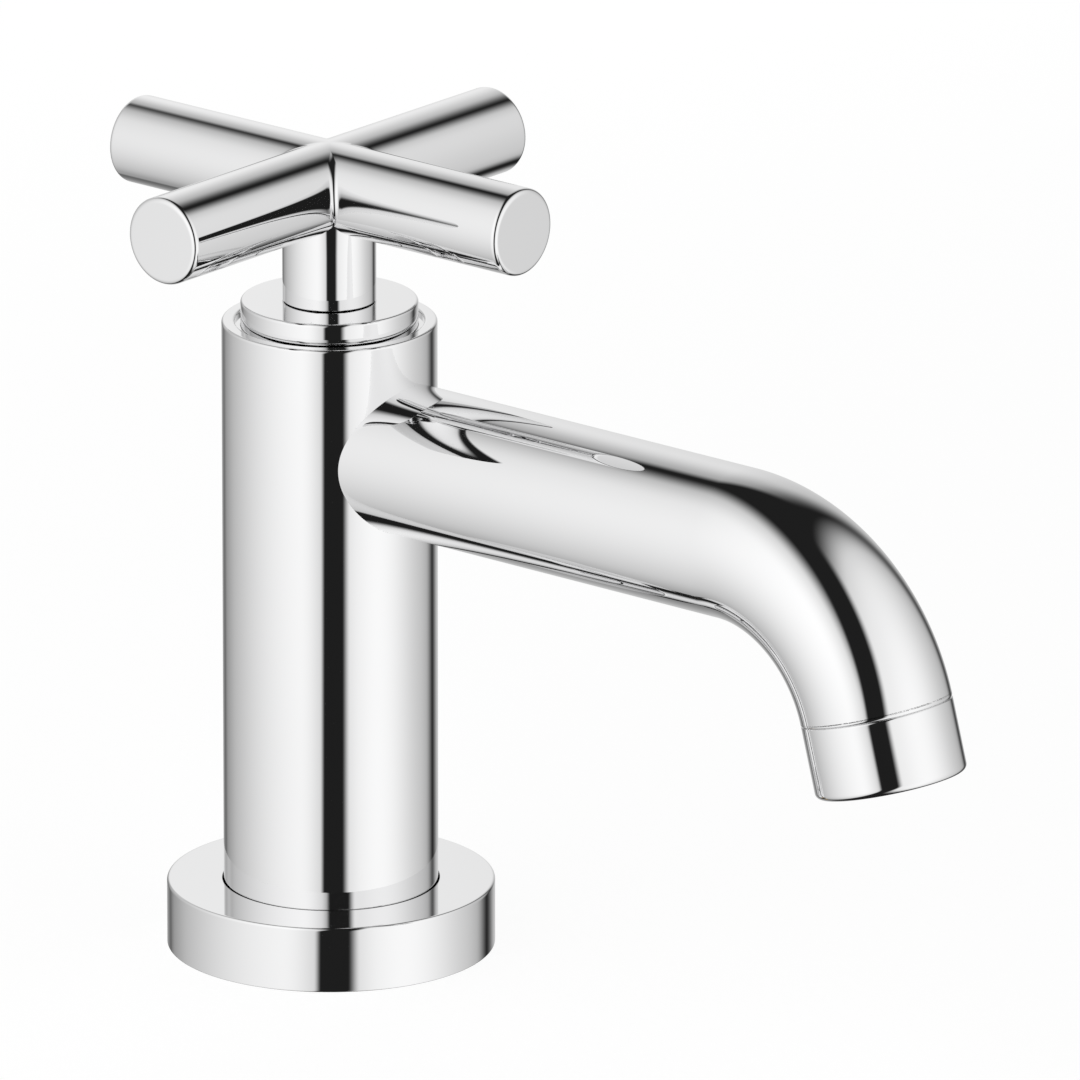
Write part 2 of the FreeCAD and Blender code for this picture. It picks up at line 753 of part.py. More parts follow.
def make_headpart_body():
    """Bonnet: basket with two side windows, thread, flange and hexagon round the spindle bore."""
    body = new_body("headpart_body")
    pitch = "thread_pitch_dia / 2"
    bore = "spindle_dia / 2 + run_clearance"
    inside = "basket_bore / 2"
    basket_base = "seat_height + basket_lift"
    turn(
        body,
        [
            (inside, basket_base),
            ("basket_dia / 2", basket_base),
            ("basket_dia / 2", "chamber_top"),
            (pitch, "chamber_top"),
            (pitch, "ledge_height"),
            ("flange_dia / 2", "ledge_height"),
            ("flange_dia / 2", "ledge_height + headpart_flange"),
            (bore, "ledge_height + headpart_flange"),
            (bore, "bonnet_roof"),
            (inside, "bonnet_roof"),
        ],
    )
    head = new_sketch(body, "XY_Plane", "ledge_height + headpart_flange")
    add_outline(head, hexagon("hex_across"))
    add_circle(head, bore)
    extrude(body, head, "hex_height")
    window = new_sketch(body, "XZ_Plane")
    low = "disc_top + (blade_height - window_height) / 2"
    high = "disc_top + (blade_height + window_height) / 2"
    add_outline(
        window,
        [
            ("-window_width / 2", low),
            ("window_width / 2", low),
            ("window_width / 2", high),
            ("-window_width / 2", high),
        ],
    )
    extrude(body, window, "basket_dia + 2 * cut_overrun", cut=True, both_ways=True)
    return body


def make_headpart_o_ring():
    """Seal ring under the headpart's flange."""
    neck = "thread_pitch_dia / 2"
    return seal_ring(
        "headpart_o_ring", neck, f"{neck} + seal_seat", "ledge_height - seal_seat / 2"
    )


def make_seat_seal():
    """Rubber ring that stands out of the basket and presses on the valve seat."""
    return ring_part(
        "seat_seal",
        "seat_bore / 2",
        "basket_bore / 2 - seat_clearance",
        "seat_height",
        "fixed_disc_base",
    )


def make_valve_disc(label, base, outside):
    """Ceramic disc with two opposite ports."""
    body = ring_part(label, "0", outside, base, f"{base} + disc_thickness")
    port = new_sketch(body, "XY_Plane", f"{base} + disc_thickness")
    add_sector(port, "port_inner", "port_outer", "port_half_angle")
    cut = extrude(body, port, "disc_thickness", cut=True)
    repeat_round(body, cut, 2)
    return body


def make_fixed_ceramic_disc():
    """Lower disc, held in the basket."""
    outside = "basket_bore / 2 - seat_clearance"
    return make_valve_disc("fixed_ceramic_disc", "fixed_disc_base", outside)


def make_moving_ceramic_disc():
    """Upper disc, a quarter turn away from the lower one when the tap is shut."""
    outside = "basket_bore / 2 - basket_clearance"
    body = make_valve_disc("moving_ceramic_disc", "moving_disc_base", outside)
    slot = new_sketch(body, "XY_Plane", "disc_top")
    across = "blade_thickness / 2 + seat_clearance"
    along = "blade_width / 2 + seat_clearance"
    corners = [
        (f"-({across})", f"-({along})"),
        (across, f"-({along})"),
        (across, along),
        (f"-({across})", along),
    ]
    add_outline(slot, corners)
    extrude(body, slot, "blade_sink + seat_clearance", cut=True)
    quarter_turn = FreeCAD.Rotation(FreeCAD.Vector(0, 0, 1), 90)
    body.Placement = FreeCAD.Placement(FreeCAD.Vector(0, 0, 0), quarter_turn)
    return body


def make_slide_washer():
    """Slippery washer between the spindle's shoulder and the bonnet."""
    return ring_part(
        "slide_washer",
        "spindle_dia / 2 + basket_clearance",
        "basket_bore / 2 - basket_clearance",
        "slide_base",
        "bonnet_roof",
    )


# ---------------------------------------------------------------- spindle group


def make_spindle():
    """Driver blade, shoulder, two seal grooves, clip groove, splined end with a neck."""
    body = new_body("spindle")
    shaft = "spindle_dia / 2"
    shoulder = "basket_bore / 2 - basket_clearance"
    groove = "spindle_dia / 2 - seal_section"
    clip = "spindle_dia / 2 - clip_depth"
    spline = "spline_dia / 2"
    neck = "neck_dia / 2"
    clip_base = "bonnet_top + run_clearance"
    clip_top = "bonnet_top + run_clearance + clip_thickness"
    neck_base = "screw_axis - screw_dia / 2 - neck_room"
    neck_top = "screw_axis + screw_dia / 2 + neck_room"
    end = "socket_roof - spindle_gap"
    corners = [
        ("0", "shoulder_base"),
        (shoulder, "shoulder_base"),
        (shoulder, "shoulder_base + shoulder_thickness"),
        (shaft, "shoulder_base + shoulder_thickness"),
    ]
    for steps in (2, 1):
        middle = f"ledge_height - seal_spacing * {steps} + seal_spacing / 2"
        low = f"{middle} - seal_section / 2 - groove_room"
        high = f"{middle} + seal_section / 2 + groove_room"
        corners += [(shaft, low), (groove, low), (groove, high), (shaft, high)]
    corners += [
        (shaft, clip_base),
        (clip, clip_base),
        (clip, clip_top),
        (shaft, clip_top),
        (shaft, "collar_top"),
        (spline, "collar_top"),
        (spline, neck_base),
        (neck, neck_base),
        (neck, neck_top),
        (spline, neck_top),
        (spline, f"{end} - spindle_bevel"),
        (f"{spline} - spindle_bevel", end),
        ("0", end),
    ]
    turn(body, corners)
    blade = new_sketch(body, "XY_Plane", "disc_top - blade_sink")
    add_outline(
        blade,
        [
            ("-blade_width / 2", "-blade_thickness / 2"),
            ("blade_width / 2", "-blade_thickness / 2"),
            ("blade_width / 2", "blade_thickness / 2"),
            ("-blade_width / 2", "blade_thickness / 2"),
        ],
    )
    extrude(body, blade, "blade_sink + blade_height + shoulder_thickness / 2")
    tooth = new_sketch(body, "XY_Plane", "socket_roof")
    bottom = "spline_dia / 2 - spline_depth"
    outer = "spline_dia / 2 + spline_depth"
    half = "spline_dia * tan(180 deg / spline_count) - spline_land"
    add_outline(tooth, [(bottom, "0"), (outer, f"-({half})"), (outer, half)])
    cut = extrude(body, tooth, "socket_roof - collar_top - handle_gap", cut=True)
    repeat_round(body, cut, "spline_count")
    return body


def make_spindle_o_rings():
    """Two seal rings in the spindle's grooves, as one pair."""
    rings = []
    for steps in (2, 1):
        height = f"ledge_height - seal_spacing * {steps} + seal_spacing / 2"
        inner = "spindle_dia / 2 - seal_section"
        rings.append(seal_ring(f"spindle_seal_{steps}", inner, "spindle_dia / 2", height))
    pair = doc.addObject("Part::Compound", "spindle_o_rings")
    pair.Label = "spindle_o_rings"
    pair.Links = rings
    return pair


def make_spindle_circlip():
    """Open spring clip above the bonnet."""
    body = new_body("spindle_circlip")
    inner = "spindle_dia / 2 - clip_depth"
    outer = "spindle_dia / 2 - clip_depth + clip_width"
    base = "bonnet_top + run_clearance"
    turn(
        body,
        [
            (inner, base),
            (outer, base),
            (outer, f"{base} + clip_thickness"),
            (inner, f"{base} + clip_thickness"),
        ],
    )
    opening = new_sketch(body, "XY_Plane", f"{base} + clip_thickness")
    add_sector(opening, f"{inner} - cut_overrun", f"{outer} + cut_overrun", "clip_opening / 2")
    extrude(body, opening, "clip_thickness", cut=True)
    return body


# ---------------------------------------------------------------- collar and handle


def make_cover_collar():
    """Cap over the headpart that stands out of the recess in the column's top."""
    cavity = "flange_dia / 2 + seat_clearance"
    outside = "collar_dia / 2"
    hole = "spindle_dia / 2 + collar_clearance"
    return turned_part(
        "cover_collar",
        [
            (cavity, "ledge_height"),
            (outside, "ledge_height"),
            (outside, "collar_top - edge_break"),
            (f"{outside} - edge_break", "collar_top"),
            (hole, "collar_top"),
            (hole, "collar_roof"),
            (cavity, "collar_roof"),
        ],
    )


def make_cross_handle():
    """Stem and two crossing bars in one piece, bored for the spindle and the set screw."""
    body = new_body("cross_handle")
    turn(
        body,
        [
            ("0", "stem_base"),
            ("stem_dia / 2 - edge_break", "stem_base"),
            ("stem_dia / 2", "stem_base + edge_break"),
            ("stem_dia / 2", "bar_axis"),
            ("0", "bar_axis"),
        ],
    )
    for role in ("XZ_Plane", "YZ_Plane"):
        bar = new_sketch(body, role)
        add_circle(bar, "bar_dia / 2", "0", "bar_axis")
        extrude(body, bar, "bar_span", both_ways=True)
    doc.recompute()
    reach = number_of("bar_span") / 2
    ends = [
        f"Edge{k}"
        for k, edge in enumerate(body.Shape.Edges, start=1)
        if edge.BoundBox.DiagonalLength > SAME
        and any(
            abs(abs(low) - reach) < SAME and abs(high - low) < SAME
            for low, high in (
                (edge.BoundBox.XMin, edge.BoundBox.XMax),
                (edge.BoundBox.YMin, edge.BoundBox.YMax),
            )
        )
    ]
    base = body.Tip
    bevel = body.newObject("PartDesign::Chamfer", "cross_handle_ends")
    bevel.Base = (base, ends)
    bevel.setExpression("Size", linked("bar_edge"))
    body.Tip = bevel
    doc.recompute()
    socket = new_sketch(body, "XY_Plane", "socket_roof")
    add_circle(socket, "socket_dia / 2")
    extrude(body, socket, "socket_depth", cut=True)
    screw = new_sketch(body, "XZ_Plane")
    add_circle(screw, "screw_dia / 2 + seat_clearance", "0", "screw_axis")
    extrude(body, screw, "stem_dia", cut=True)
    return body


def make_handle_adapter():
    """Bush between the splined end and the stem, with a hole for the set screw."""
    body = ring_part(
        "handle_adapter",
        "spline_dia / 2 + seat_clearance",
        "socket_dia / 2 - seat_clearance",
        "stem_base + adapter_inset",
        "socket_roof - loose_clearance",
    )
    hole = new_sketch(body, "XZ_Plane")
    add_circle(hole, "screw_dia / 2 + seat_clearance", "0", "screw_axis")
    extrude(body, hole, "stem_dia", cut=True)
    return body


def make_handle_set_screw():
    """Headless screw through the back of the stem, with a key socket and a blunt cone point."""
    body = new_body("handle_set_screw")
    tip = "neck_dia / 2"
    end = "stem_dia / 2 - screw_inset"
    turn(
        body,
        [
            ("0", tip),
            ("screw_dia / 4", tip),
            ("screw_dia / 2", f"{tip} + screw_dia / 4"),
            ("screw_dia / 2", end),
            ("0", end),
        ],
    )
    key = new_sketch(body, "XY_Plane", end)
    add_outline(key, hexagon("screw_key"))
    extrude(body, key, "screw_key_depth", cut=True)
    sideways = FreeCAD.Rotation(FreeCAD.Vector(1, 0, 0), -90)
    body.Placement = FreeCAD.Placement(FreeCAD.Vector(0, 0, 0), sideways)
    body.setExpression(".Placement.Base.z", linked("screw_axis"))
    return body


parts = [
    make_base_rosette(),
    make_rosette_o_ring(),
    make_deck_gasket(),
    make_threaded_shank(),
    make_shank_o_ring(),
    make_rubber_washer(),
    make_fixing_washer(),
    make_backnut(),
    make_column_body(),
    make_spout_tube(),
    make_aerator_sleeve(),
    make_aerator_seal(),
    make_aerator_cage(),
    make_aerator_jet_plate(),
    make_aerator_screen(),
    make_headpart_body(),
    make_headpart_o_ring(),
    make_seat_seal(),
    make_fixed_ceramic_disc(),
    make_moving_ceramic_disc(),
    make_slide_washer(),
    make_spindle(),
    make_spindle_o_rings(),
    make_spindle_circlip(),
    make_cover_collar(),
    make_cross_handle(),
    make_handle_adapter(),
    make_handle_set_screw(),
]
doc.recompute()

for item in doc.Objects:
    if "Invalid" in item.State or "Error" in item.State:
        raise RuntimeError(f"{item.Label} did not build: {item.State}")
for part in parts:
    if part.Shape.isNull() or not part.Shape.isValid():
        raise RuntimeError(f"{part.Label} has no valid shape")

os.makedirs("parts", exist_ok=True)
for part in parts:
    part.Shape.exportStep(f"parts/{part.Label}.step")
    print(f"{part.Label}: {len(part.Shape.Solids)} solid, {part.Shape.Volume:.1f} mm3")
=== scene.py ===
# %% [markdown]
# # A cross handle tap
# The tap is a turned column on a hollow rosette, with a bent tube for a spout and a cross
# of two round bars for a handle. Nearly everything that shows is polished chrome, and
# chrome has no colour of its own: it shows the room. So two things decide the picture.
# The meshes need normals that flow without a break, and the studio round the tap needs
# the right panels in the right places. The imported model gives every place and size. It is
# loaded first, and each piece below is built where the model says.

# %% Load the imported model
import json
import math
import bmesh
import bpy
from mathutils import Matrix, Vector

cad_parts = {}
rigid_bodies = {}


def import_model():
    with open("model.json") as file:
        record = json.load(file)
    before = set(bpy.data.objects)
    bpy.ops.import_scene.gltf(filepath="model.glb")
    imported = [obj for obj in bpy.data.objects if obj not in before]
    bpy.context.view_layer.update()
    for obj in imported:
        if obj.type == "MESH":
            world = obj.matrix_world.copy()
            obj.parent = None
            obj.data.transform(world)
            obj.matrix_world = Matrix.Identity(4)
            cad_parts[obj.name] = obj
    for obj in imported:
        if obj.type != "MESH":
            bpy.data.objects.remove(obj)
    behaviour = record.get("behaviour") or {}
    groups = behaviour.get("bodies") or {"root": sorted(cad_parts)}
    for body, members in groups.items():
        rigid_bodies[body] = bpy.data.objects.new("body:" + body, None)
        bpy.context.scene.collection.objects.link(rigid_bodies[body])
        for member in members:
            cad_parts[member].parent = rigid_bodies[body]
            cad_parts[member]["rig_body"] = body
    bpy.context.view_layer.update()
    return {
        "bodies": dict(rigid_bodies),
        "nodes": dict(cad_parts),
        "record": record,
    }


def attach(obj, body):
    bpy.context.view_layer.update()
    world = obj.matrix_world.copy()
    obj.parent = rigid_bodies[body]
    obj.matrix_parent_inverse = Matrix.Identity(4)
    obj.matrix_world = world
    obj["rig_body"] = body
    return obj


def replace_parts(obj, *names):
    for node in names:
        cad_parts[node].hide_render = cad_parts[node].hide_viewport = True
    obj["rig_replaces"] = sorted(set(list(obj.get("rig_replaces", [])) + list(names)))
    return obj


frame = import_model()
NODES = frame["nodes"]
MM = 0.001
on_body = {body: [n for n in NODES.values() if n["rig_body"] == body] for body in frame["bodies"]}
print("bodies:", {body: len(nodes) for body, nodes in on_body.items()})

# %% [markdown]
# ## Turned pieces
# The rosette, column, collar and aerator sleeve come off a lathe, so each is a profile of
# radius and height, spun about an axis. A Screw modifier could spin a drawn line, but
# then the small rounded edges would need drawing too. Here a helper rounds each corner
# of the profile, and sets one more point just outside each rounding. That support point
# matters on a mirror: without it the flat beside the edge would take on part of the
# edge's normal, and its reflection would bend.

# %% Profile and lathe
AROUND = 256
SUPPORT = 0.15


def rounded_profile(corners, steps=7):
    """Points of a closed profile in mm. A corner is (radius, height, rounding)."""
    points = []
    count = len(corners)
    for k, (r, z, rounding) in enumerate(corners):
        here = Vector((r, z))
        before = Vector(corners[k - 1][:2]) - here
        after = Vector(corners[(k + 1) % count][:2]) - here
        if rounding <= 0:
            points.append((r, z))
            continue
        half = before.angle(after) / 2
        reach = rounding / math.tan(half)
        start, end = here + before.normalized() * reach, here + after.normalized() * reach
        inwards = (before.normalized() + after.normalized()).normalized()
        centre = here + inwards * (rounding / math.sin(half))
        support = min(SUPPORT, before.length / 4, after.length / 4)
        points.append(tuple(start + before.normalized() * support))
        first, last = start - centre, end - centre
        turn = first.angle_signed(last)
        for step in range(steps + 1):
            arm = first.copy()
            arm.rotate(Matrix.Rotation(-turn * step / steps, 2))
            points.append(tuple(centre + arm))
        points.append(tuple(end + after.normalized() * support))
    return points


def spun(points, around=AROUND):
    """A bmesh of the closed profile spun about Z, in metres."""
    bm = bmesh.new()
    rings = []
    turns = [2 * math.pi * k / around for k in range(around)]
    for r, z in points:
        rings.append([bm.verts.new((r * MM * math.cos(a), r * MM * math.sin(a), z * MM)) for a in turns])
    for k, ring in enumerate(rings):
        join_rings(bm, ring, rings[(k + 1) % len(rings)])
    return bm


def join_rings(bm, ring, above):
    """Faces between two rings, leaving out what shrinks to a pole or to nothing."""
    for k in range(len(ring)):
        after = (k + 1) % len(ring)
        corners = list(dict.fromkeys([ring[k], ring[after], above[after], above[k]]))
        if len(corners) > 2:
            bm.faces.new(corners)


def piece_from(bm, name, body, material, stands_for, crease=30):
    """Merge, turn the faces outwards, mark the crisp edges and hang the piece on its body."""
    bmesh.ops.remove_doubles(bm, verts=bm.verts, dist=1e-7)
    bmesh.ops.recalc_face_normals(bm, faces=bm.faces)
    for edge in bm.edges:
        edge.smooth = len(edge.link_faces) == 2 and edge.calc_face_angle(0) < math.radians(crease)
    for face in bm.faces:
        face.smooth = True
    mesh = bpy.data.meshes.new(name)
    bm.to_mesh(mesh)
    open_edges = sum(1 for e in bm.edges if len(e.link_faces) != 2)
    bm.free()
    piece = bpy.data.objects.new(name, mesh)
    bpy.context.scene.collection.objects.link(piece)
    mesh.materials.append(material)
    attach(piece, body)
    if stands_for:
        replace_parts(piece, *stands_for)
    print(f"{name}: {len(mesh.polygons)} faces, {open_edges} open edges")
    return piece


# %% [markdown]
# ## Finishes
# Every finish here needs a little unevenness: polish is never the same all over, brass is
# turned, rubber is dusty. That unevenness is a noise in the object's own coordinates.
# Since all the finishes use it, it is built once as a node group that gives a mask, a
# roughness and a normal, and each material sets its own numbers on it. The shader itself
# stays in the material.

# %% Group: uneven surface
def make_group(name, inputs, outputs):
    """An empty shader group with number inputs and its given outputs."""
    group = bpy.data.node_groups.new(name, "ShaderNodeTree")
    for label, value in inputs:
        socket = group.interface.new_socket(label, in_out="INPUT", socket_type="NodeSocketFloat")
        socket.default_value = value
    for label, kind in outputs:
        group.interface.new_socket(label, in_out="OUTPUT", socket_type=kind)
    return group, group.nodes.new("NodeGroupInput"), group.nodes.new("NodeGroupOutput")


def add(tree, kind, **settings):
    """A node with its settings, and numbers for its input sockets by name or position."""
    node = tree.nodes.new(kind)
    sockets = settings.pop("sockets", {})
    for key, value in settings.items():
        setattr(node, key, value)
    for key, value in sockets.items():
        node.inputs[key].default_value = value
    return node


def make_uneven_surface():
    inputs = [("Scale", 200.0), ("Roughness Low", 0.03), ("Roughness High", 0.06), ("Height", 0.00001)]
    outputs = [("Mask", "NodeSocketFloat"), ("Roughness", "NodeSocketFloat"), ("Normal", "NodeSocketVector")]
    group, given, made = make_group("uneven_surface", inputs, outputs)
    place = add(group, "ShaderNodeTexCoord")
    noise = add(group, "ShaderNodeTexNoise", sockets={"Detail": 4.0, "Roughness": 0.55})
    spread = add(group, "ShaderNodeMapRange", sockets={"From Min": 0.3, "From Max": 0.7})
    bump = add(group, "ShaderNodeBump", sockets={"Strength": 1.0})
    link = group.links.new
    link(place.outputs["Object"], noise.inputs["Vector"])
    link(given.outputs["Scale"], noise.inputs["Scale"])
    link(noise.outputs["Fac"], spread.inputs["Value"])
    link(given.outputs["Roughness Low"], spread.inputs["To Min"])
    link(given.outputs["Roughness High"], spread.inputs["To Max"])
    link(noise.outputs["Fac"], bump.inputs["Height"])
    link(given.outputs["Height"], bump.inputs["Distance"])
    link(noise.outputs["Fac"], made.inputs["Mask"])
    link(spread.outputs["Result"], made.inputs["Roughness"])
    link(bump.outputs["Normal"], made.inputs["Normal"])
    return group


uneven_surface = make_uneven_surface()
print("group:", uneven_surface.name, [s.name for s in uneven_surface.interface.items_tree])

# %% [markdown]
# Turned brass and ground steel also carry rings from the tool. On the real part they run
# round the axis. A Wave texture in rings about Z gives them to the brass, with some
# distortion so that they aren't as regular as a screw.

# %% Group: tool rings
def make_tool_rings():
    inputs = [("Rings", 900.0), ("Height", 0.000004)]
    outputs = [("Mask", "NodeSocketFloat"), ("Normal", "NodeSocketVector")]
    group, given, made = make_group("tool_rings", inputs, outputs)
    place = add(group, "ShaderNodeTexCoord")
    settings = {"Distortion": 1.2, "Detail": 2.0, "Detail Scale": 0.6}
    wave = add(group, "ShaderNodeTexWave", wave_type="BANDS", bands_direction="Z", sockets=settings)
    bump = add(group, "ShaderNodeBump", sockets={"Strength": 1.0})
    link = group.links.new
    link(place.outputs["Object"], wave.inputs["Vector"])
    link(given.outputs["Rings"], wave.inputs["Scale"])
    link(wave.outputs["Fac"], bump.inputs["Height"])
    link(given.outputs["Height"], bump.inputs["Distance"])
    link(wave.outputs["Fac"], made.inputs["Mask"])
    link(bump.outputs["Normal"], made.inputs["Normal"])
    return group


tool_rings = make_tool_rings()
print("group:", tool_rings.name)


# %% Materials
def make_material(name, low, high, metallic, surface, rings=None, **sockets):
    """A Principled material whose colour runs from low to high with the unevenness."""
    material = bpy.data.materials.new(name)
    material.use_nodes = True
    tree = material.node_tree
    shader = tree.nodes["Principled BSDF"]
    shader.inputs["Metallic"].default_value = metallic
    for key, value in sockets.items():
        shader.inputs[key.replace("_", " ").title()].default_value = value
    uneven = add(tree, "ShaderNodeGroup", node_tree=uneven_surface, sockets=surface)
    tint = add(tree, "ShaderNodeMix", data_type="RGBA")
    tint.inputs["A"].default_value = (*low, 1)
    tint.inputs["B"].default_value = (*high, 1)
    link = tree.links.new
    link(tint.outputs["Result"], shader.inputs["Base Color"])
    link(uneven.outputs["Roughness"], shader.inputs["Roughness"])
    if rings is None:
        link(uneven.outputs["Mask"], tint.inputs["Factor"])
        link(uneven.outputs["Normal"], shader.inputs["Normal"])
        return material
    marks = add(tree, "ShaderNodeGroup", node_tree=tool_rings, sockets=rings)
    link(marks.outputs["Mask"], tint.inputs["Factor"])
    link(marks.outputs["Normal"], shader.inputs["Normal"])
    return material


chrome = make_material(
    "polished_chrome", (0.872, 0.872, 0.875), (0.885, 0.885, 0.888), 1.0,
    {"Scale": 60.0, "Roughness Low": 0.012, "Roughness High": 0.03, "Height": 0.0},
)
brass = make_material(
    "turned_brass", (0.60, 0.43, 0.17), (0.80, 0.62, 0.30), 1.0,
    {"Scale": 300.0, "Roughness Low": 0.18, "Roughness High": 0.34, "Height": 0.00001},
    rings={"Rings": 900.0, "Height": 0.000006},
)
steel = make_material(
    "zinc_plated_steel", (0.55, 0.56, 0.58), (0.72, 0.72, 0.71), 1.0,
    {"Scale": 260.0, "Roughness Low": 0.24, "Roughness High": 0.42, "Height": 0.00001},
)
wire = make_material(
    "stainless_wire", (0.58, 0.58, 0.58), (0.72, 0.72, 0.71), 1.0,
    {"Scale": 900.0, "Roughness Low": 0.15, "Roughness High": 0.3, "Height": 0.000003},
)
rubber = make_material(
    "black_rubber", (0.018, 0.018, 0.020), (0.040, 0.039, 0.038), 0.0,
    {"Scale": 420.0, "Roughness Low": 0.55, "Roughness High": 0.8, "Height": 0.00003},
)
ceramic = make_material(
    "lapped_ceramic", (0.86, 0.85, 0.81), (0.93, 0.92, 0.90), 0.0,
    {"Scale": 700.0, "Roughness Low": 0.12, "Roughness High": 0.22, "Height": 0.000004},
)
plastic = make_material(
    "moulded_plastic", (0.70, 0.71, 0.70), (0.78, 0.78, 0.76), 0.0,
    {"Scale": 500.0, "Roughness Low": 0.35, "Roughness High": 0.5, "Height": 0.00001},
)
FINISH = {
    "chrome": chrome, "brass": brass, "steel": steel,
    "rubber": rubber, "ceramic": ceramic, "plastic": plastic,
}
print("finishes:", sorted(FINISH))

# %% [markdown]
# ## The foot
# The rosette covers the tap hole. It is a thin shell with a hub that grips the column, so
# its profile goes up the outside, in over the top and back down inside. The crisp rims
# have under half a millimetre of rounding, which catches one thin line.

# %% Rosette
COLUMN_R, ROSETTE_R, ROSETTE_TOP = 17.0, 26.0, 10.6
HUB_BORE, HUB_R, HUB_BASE = COLUMN_R + 0.22, COLUMN_R + 2.6, 1.8
SHELL = 2.4
EDGE, FINE_EDGE = 0.4, 0.1
rosette_corners = [
    (ROSETTE_R, 0.0, 0.12), (ROSETTE_R, ROSETTE_TOP, EDGE), (HUB_BORE, ROSETTE_TOP, FINE_EDGE),
    (HUB_BORE, HUB_BASE, 0), (HUB_R, HUB_BASE, 0), (HUB_R, ROSETTE_TOP - SHELL, 0),
    (ROSETTE_R - SHELL, ROSETTE_TOP - SHELL, 0), (ROSETTE_R - SHELL, 0.0, 0),
]
rosette = piece_from(
    spun(rounded_profile(rosette_corners)), "rosette_shell", "tap_body", chrome, ["base_rosette"]
)

# %% [markdown]
# ## The column
# One long turned body. Its outside is a plain cylinder, and at the top a narrow ring of
# metal stands round a recess, where the collar sits. The inside follows the model's
# section: shank socket, waterway, seat and valve chamber.

# %% Column
COLUMN_BASE, COLUMN_TOP, LEDGE, SEEN_FLOOR = 1.6, 103.0, 100.0, 102.2
RECESS_R, FLOOR_R, SEAL_R, THREAD_R = 14.9, 14.05, 11.4965, 9.8965
CHAMBER_R, SEAT_R, WATERWAY_R, SOCKET_SEAL_R = 12.0, 5.2, 9.0, 9.1
SEAL_BASE, CHAMBER_TOP, SEAT_TOP, SEAT_BASE = 98.6, 92.4, 68.0, 62.0
SOCKET_SEAL_TOP, SHANK_TOP = 17.5, 13.0
column_corners = [
    (COLUMN_R, COLUMN_BASE, 0), (COLUMN_R, COLUMN_TOP, EDGE),
    (RECESS_R, COLUMN_TOP, EDGE), (RECESS_R, SEEN_FLOOR, 0),
    (FLOOR_R, SEEN_FLOOR, 0), (FLOOR_R, LEDGE, 0), (SEAL_R, LEDGE, 0), (SEAL_R, SEAL_BASE, 0),
    (THREAD_R, SEAL_BASE, 0), (THREAD_R, CHAMBER_TOP, 0), (CHAMBER_R, CHAMBER_TOP, 0),
    (CHAMBER_R, SEAT_TOP, 0), (SEAT_R, SEAT_TOP, 0), (SEAT_R, SEAT_BASE, 0),
    (WATERWAY_R, SEAT_BASE, 0), (WATERWAY_R, SOCKET_SEAL_TOP, 0),
    (SOCKET_SEAL_R, SOCKET_SEAL_TOP, 0), (SOCKET_SEAL_R, SHANK_TOP, 0),
    (THREAD_R, SHANK_TOP, 0), (THREAD_R, COLUMN_BASE, 0),
]
column = piece_from(
    spun(rounded_profile(column_corners)), "column_turned", "tap_body", chrome, ["column_body"]
)

# %% Collar over the headpart
COLLAR_R, COLLAR_TOP, COLLAR_ROOF = 14.0, 106.3, 104.8
COLLAR_INSIDE, COLLAR_BORE = 12.3465, 5.4
collar_corners = [
    (COLLAR_R, LEDGE, 0), (COLLAR_R, COLLAR_TOP, EDGE), (COLLAR_BORE, COLLAR_TOP, FINE_EDGE),
    (COLLAR_BORE, COLLAR_ROOF, 0), (COLLAR_INSIDE, COLLAR_ROOF, 0), (COLLAR_INSIDE, LEDGE, 0),
]
collar = piece_from(
    spun(rounded_profile(collar_corners)), "collar_turned", "tap_body", chrome, ["cover_collar"]
)

# %% [markdown]
# ## The spout
# The spout is one tube that leaves the column, runs straight and bends down. A curve with
# a round bevel would make it too, but it wouldn't meet the column: the end of the real
# tube is cut to the column's round side, like a saddle. Here rings are set along the
# path, each given by how far along it lies and how wide it is, and the first ring is
# pushed back onto the column. The list of rings goes on past the outlet, over the
# threaded end and back up inside, so that the tube closes on itself.

# %% Path of the spout
TUBE_R, TUBE_INSIDE, SPOUT_Z = 12.0, 10.0, 83.2
NIPPLE_R, NIPPLE_BORE, NIPPLE_LENGTH = 10.7, 9.2, 4.6
RIM, TUBE_START = 0.28, 20
RUN, BEND_R, BEND = 83.4, 29.2, math.radians(74.6)
BEND_LENGTH = BEND_R * BEND
OUTLET = Vector((0, -(RUN + BEND_R * math.sin(BEND)), SPOUT_Z - BEND_R * (1 - math.cos(BEND))))


def path_frame(s):
    """Centre, direction and upward side of the tube, s mm from the column's axis."""
    if s <= RUN:
        return Vector((0, -s, SPOUT_Z)), Vector((0, -1, 0)), Vector((0, 0, 1))
    turned = min(s - RUN, BEND_LENGTH) / BEND_R
    centre = Vector((0, -(RUN + BEND_R * math.sin(turned)), SPOUT_Z - BEND_R * (1 - math.cos(turned))))
    along = Vector((0, -math.cos(turned), -math.sin(turned)))
    up = Vector((0, -math.sin(turned), math.cos(turned)))
    past = max(0.0, s - RUN - BEND_LENGTH)
    return centre + along * past, along, up


def tube_ring(bm, s, radius, around, on_column=False):
    """One ring of the tube. On the column, its points lie on the column's side."""
    centre, _, up = path_frame(s)
    ring = []
    for k in range(around):
        a = 2 * math.pi * k / around
        spot = centre + Vector((1, 0, 0)) * (radius * math.cos(a)) + up * (radius * math.sin(a))
        if on_column:
            spot.y = -math.sqrt(COLUMN_R**2 - spot.x**2)
        ring.append(bm.verts.new(spot * MM))
        if radius < 1e-6:
            return ring * around
    return ring


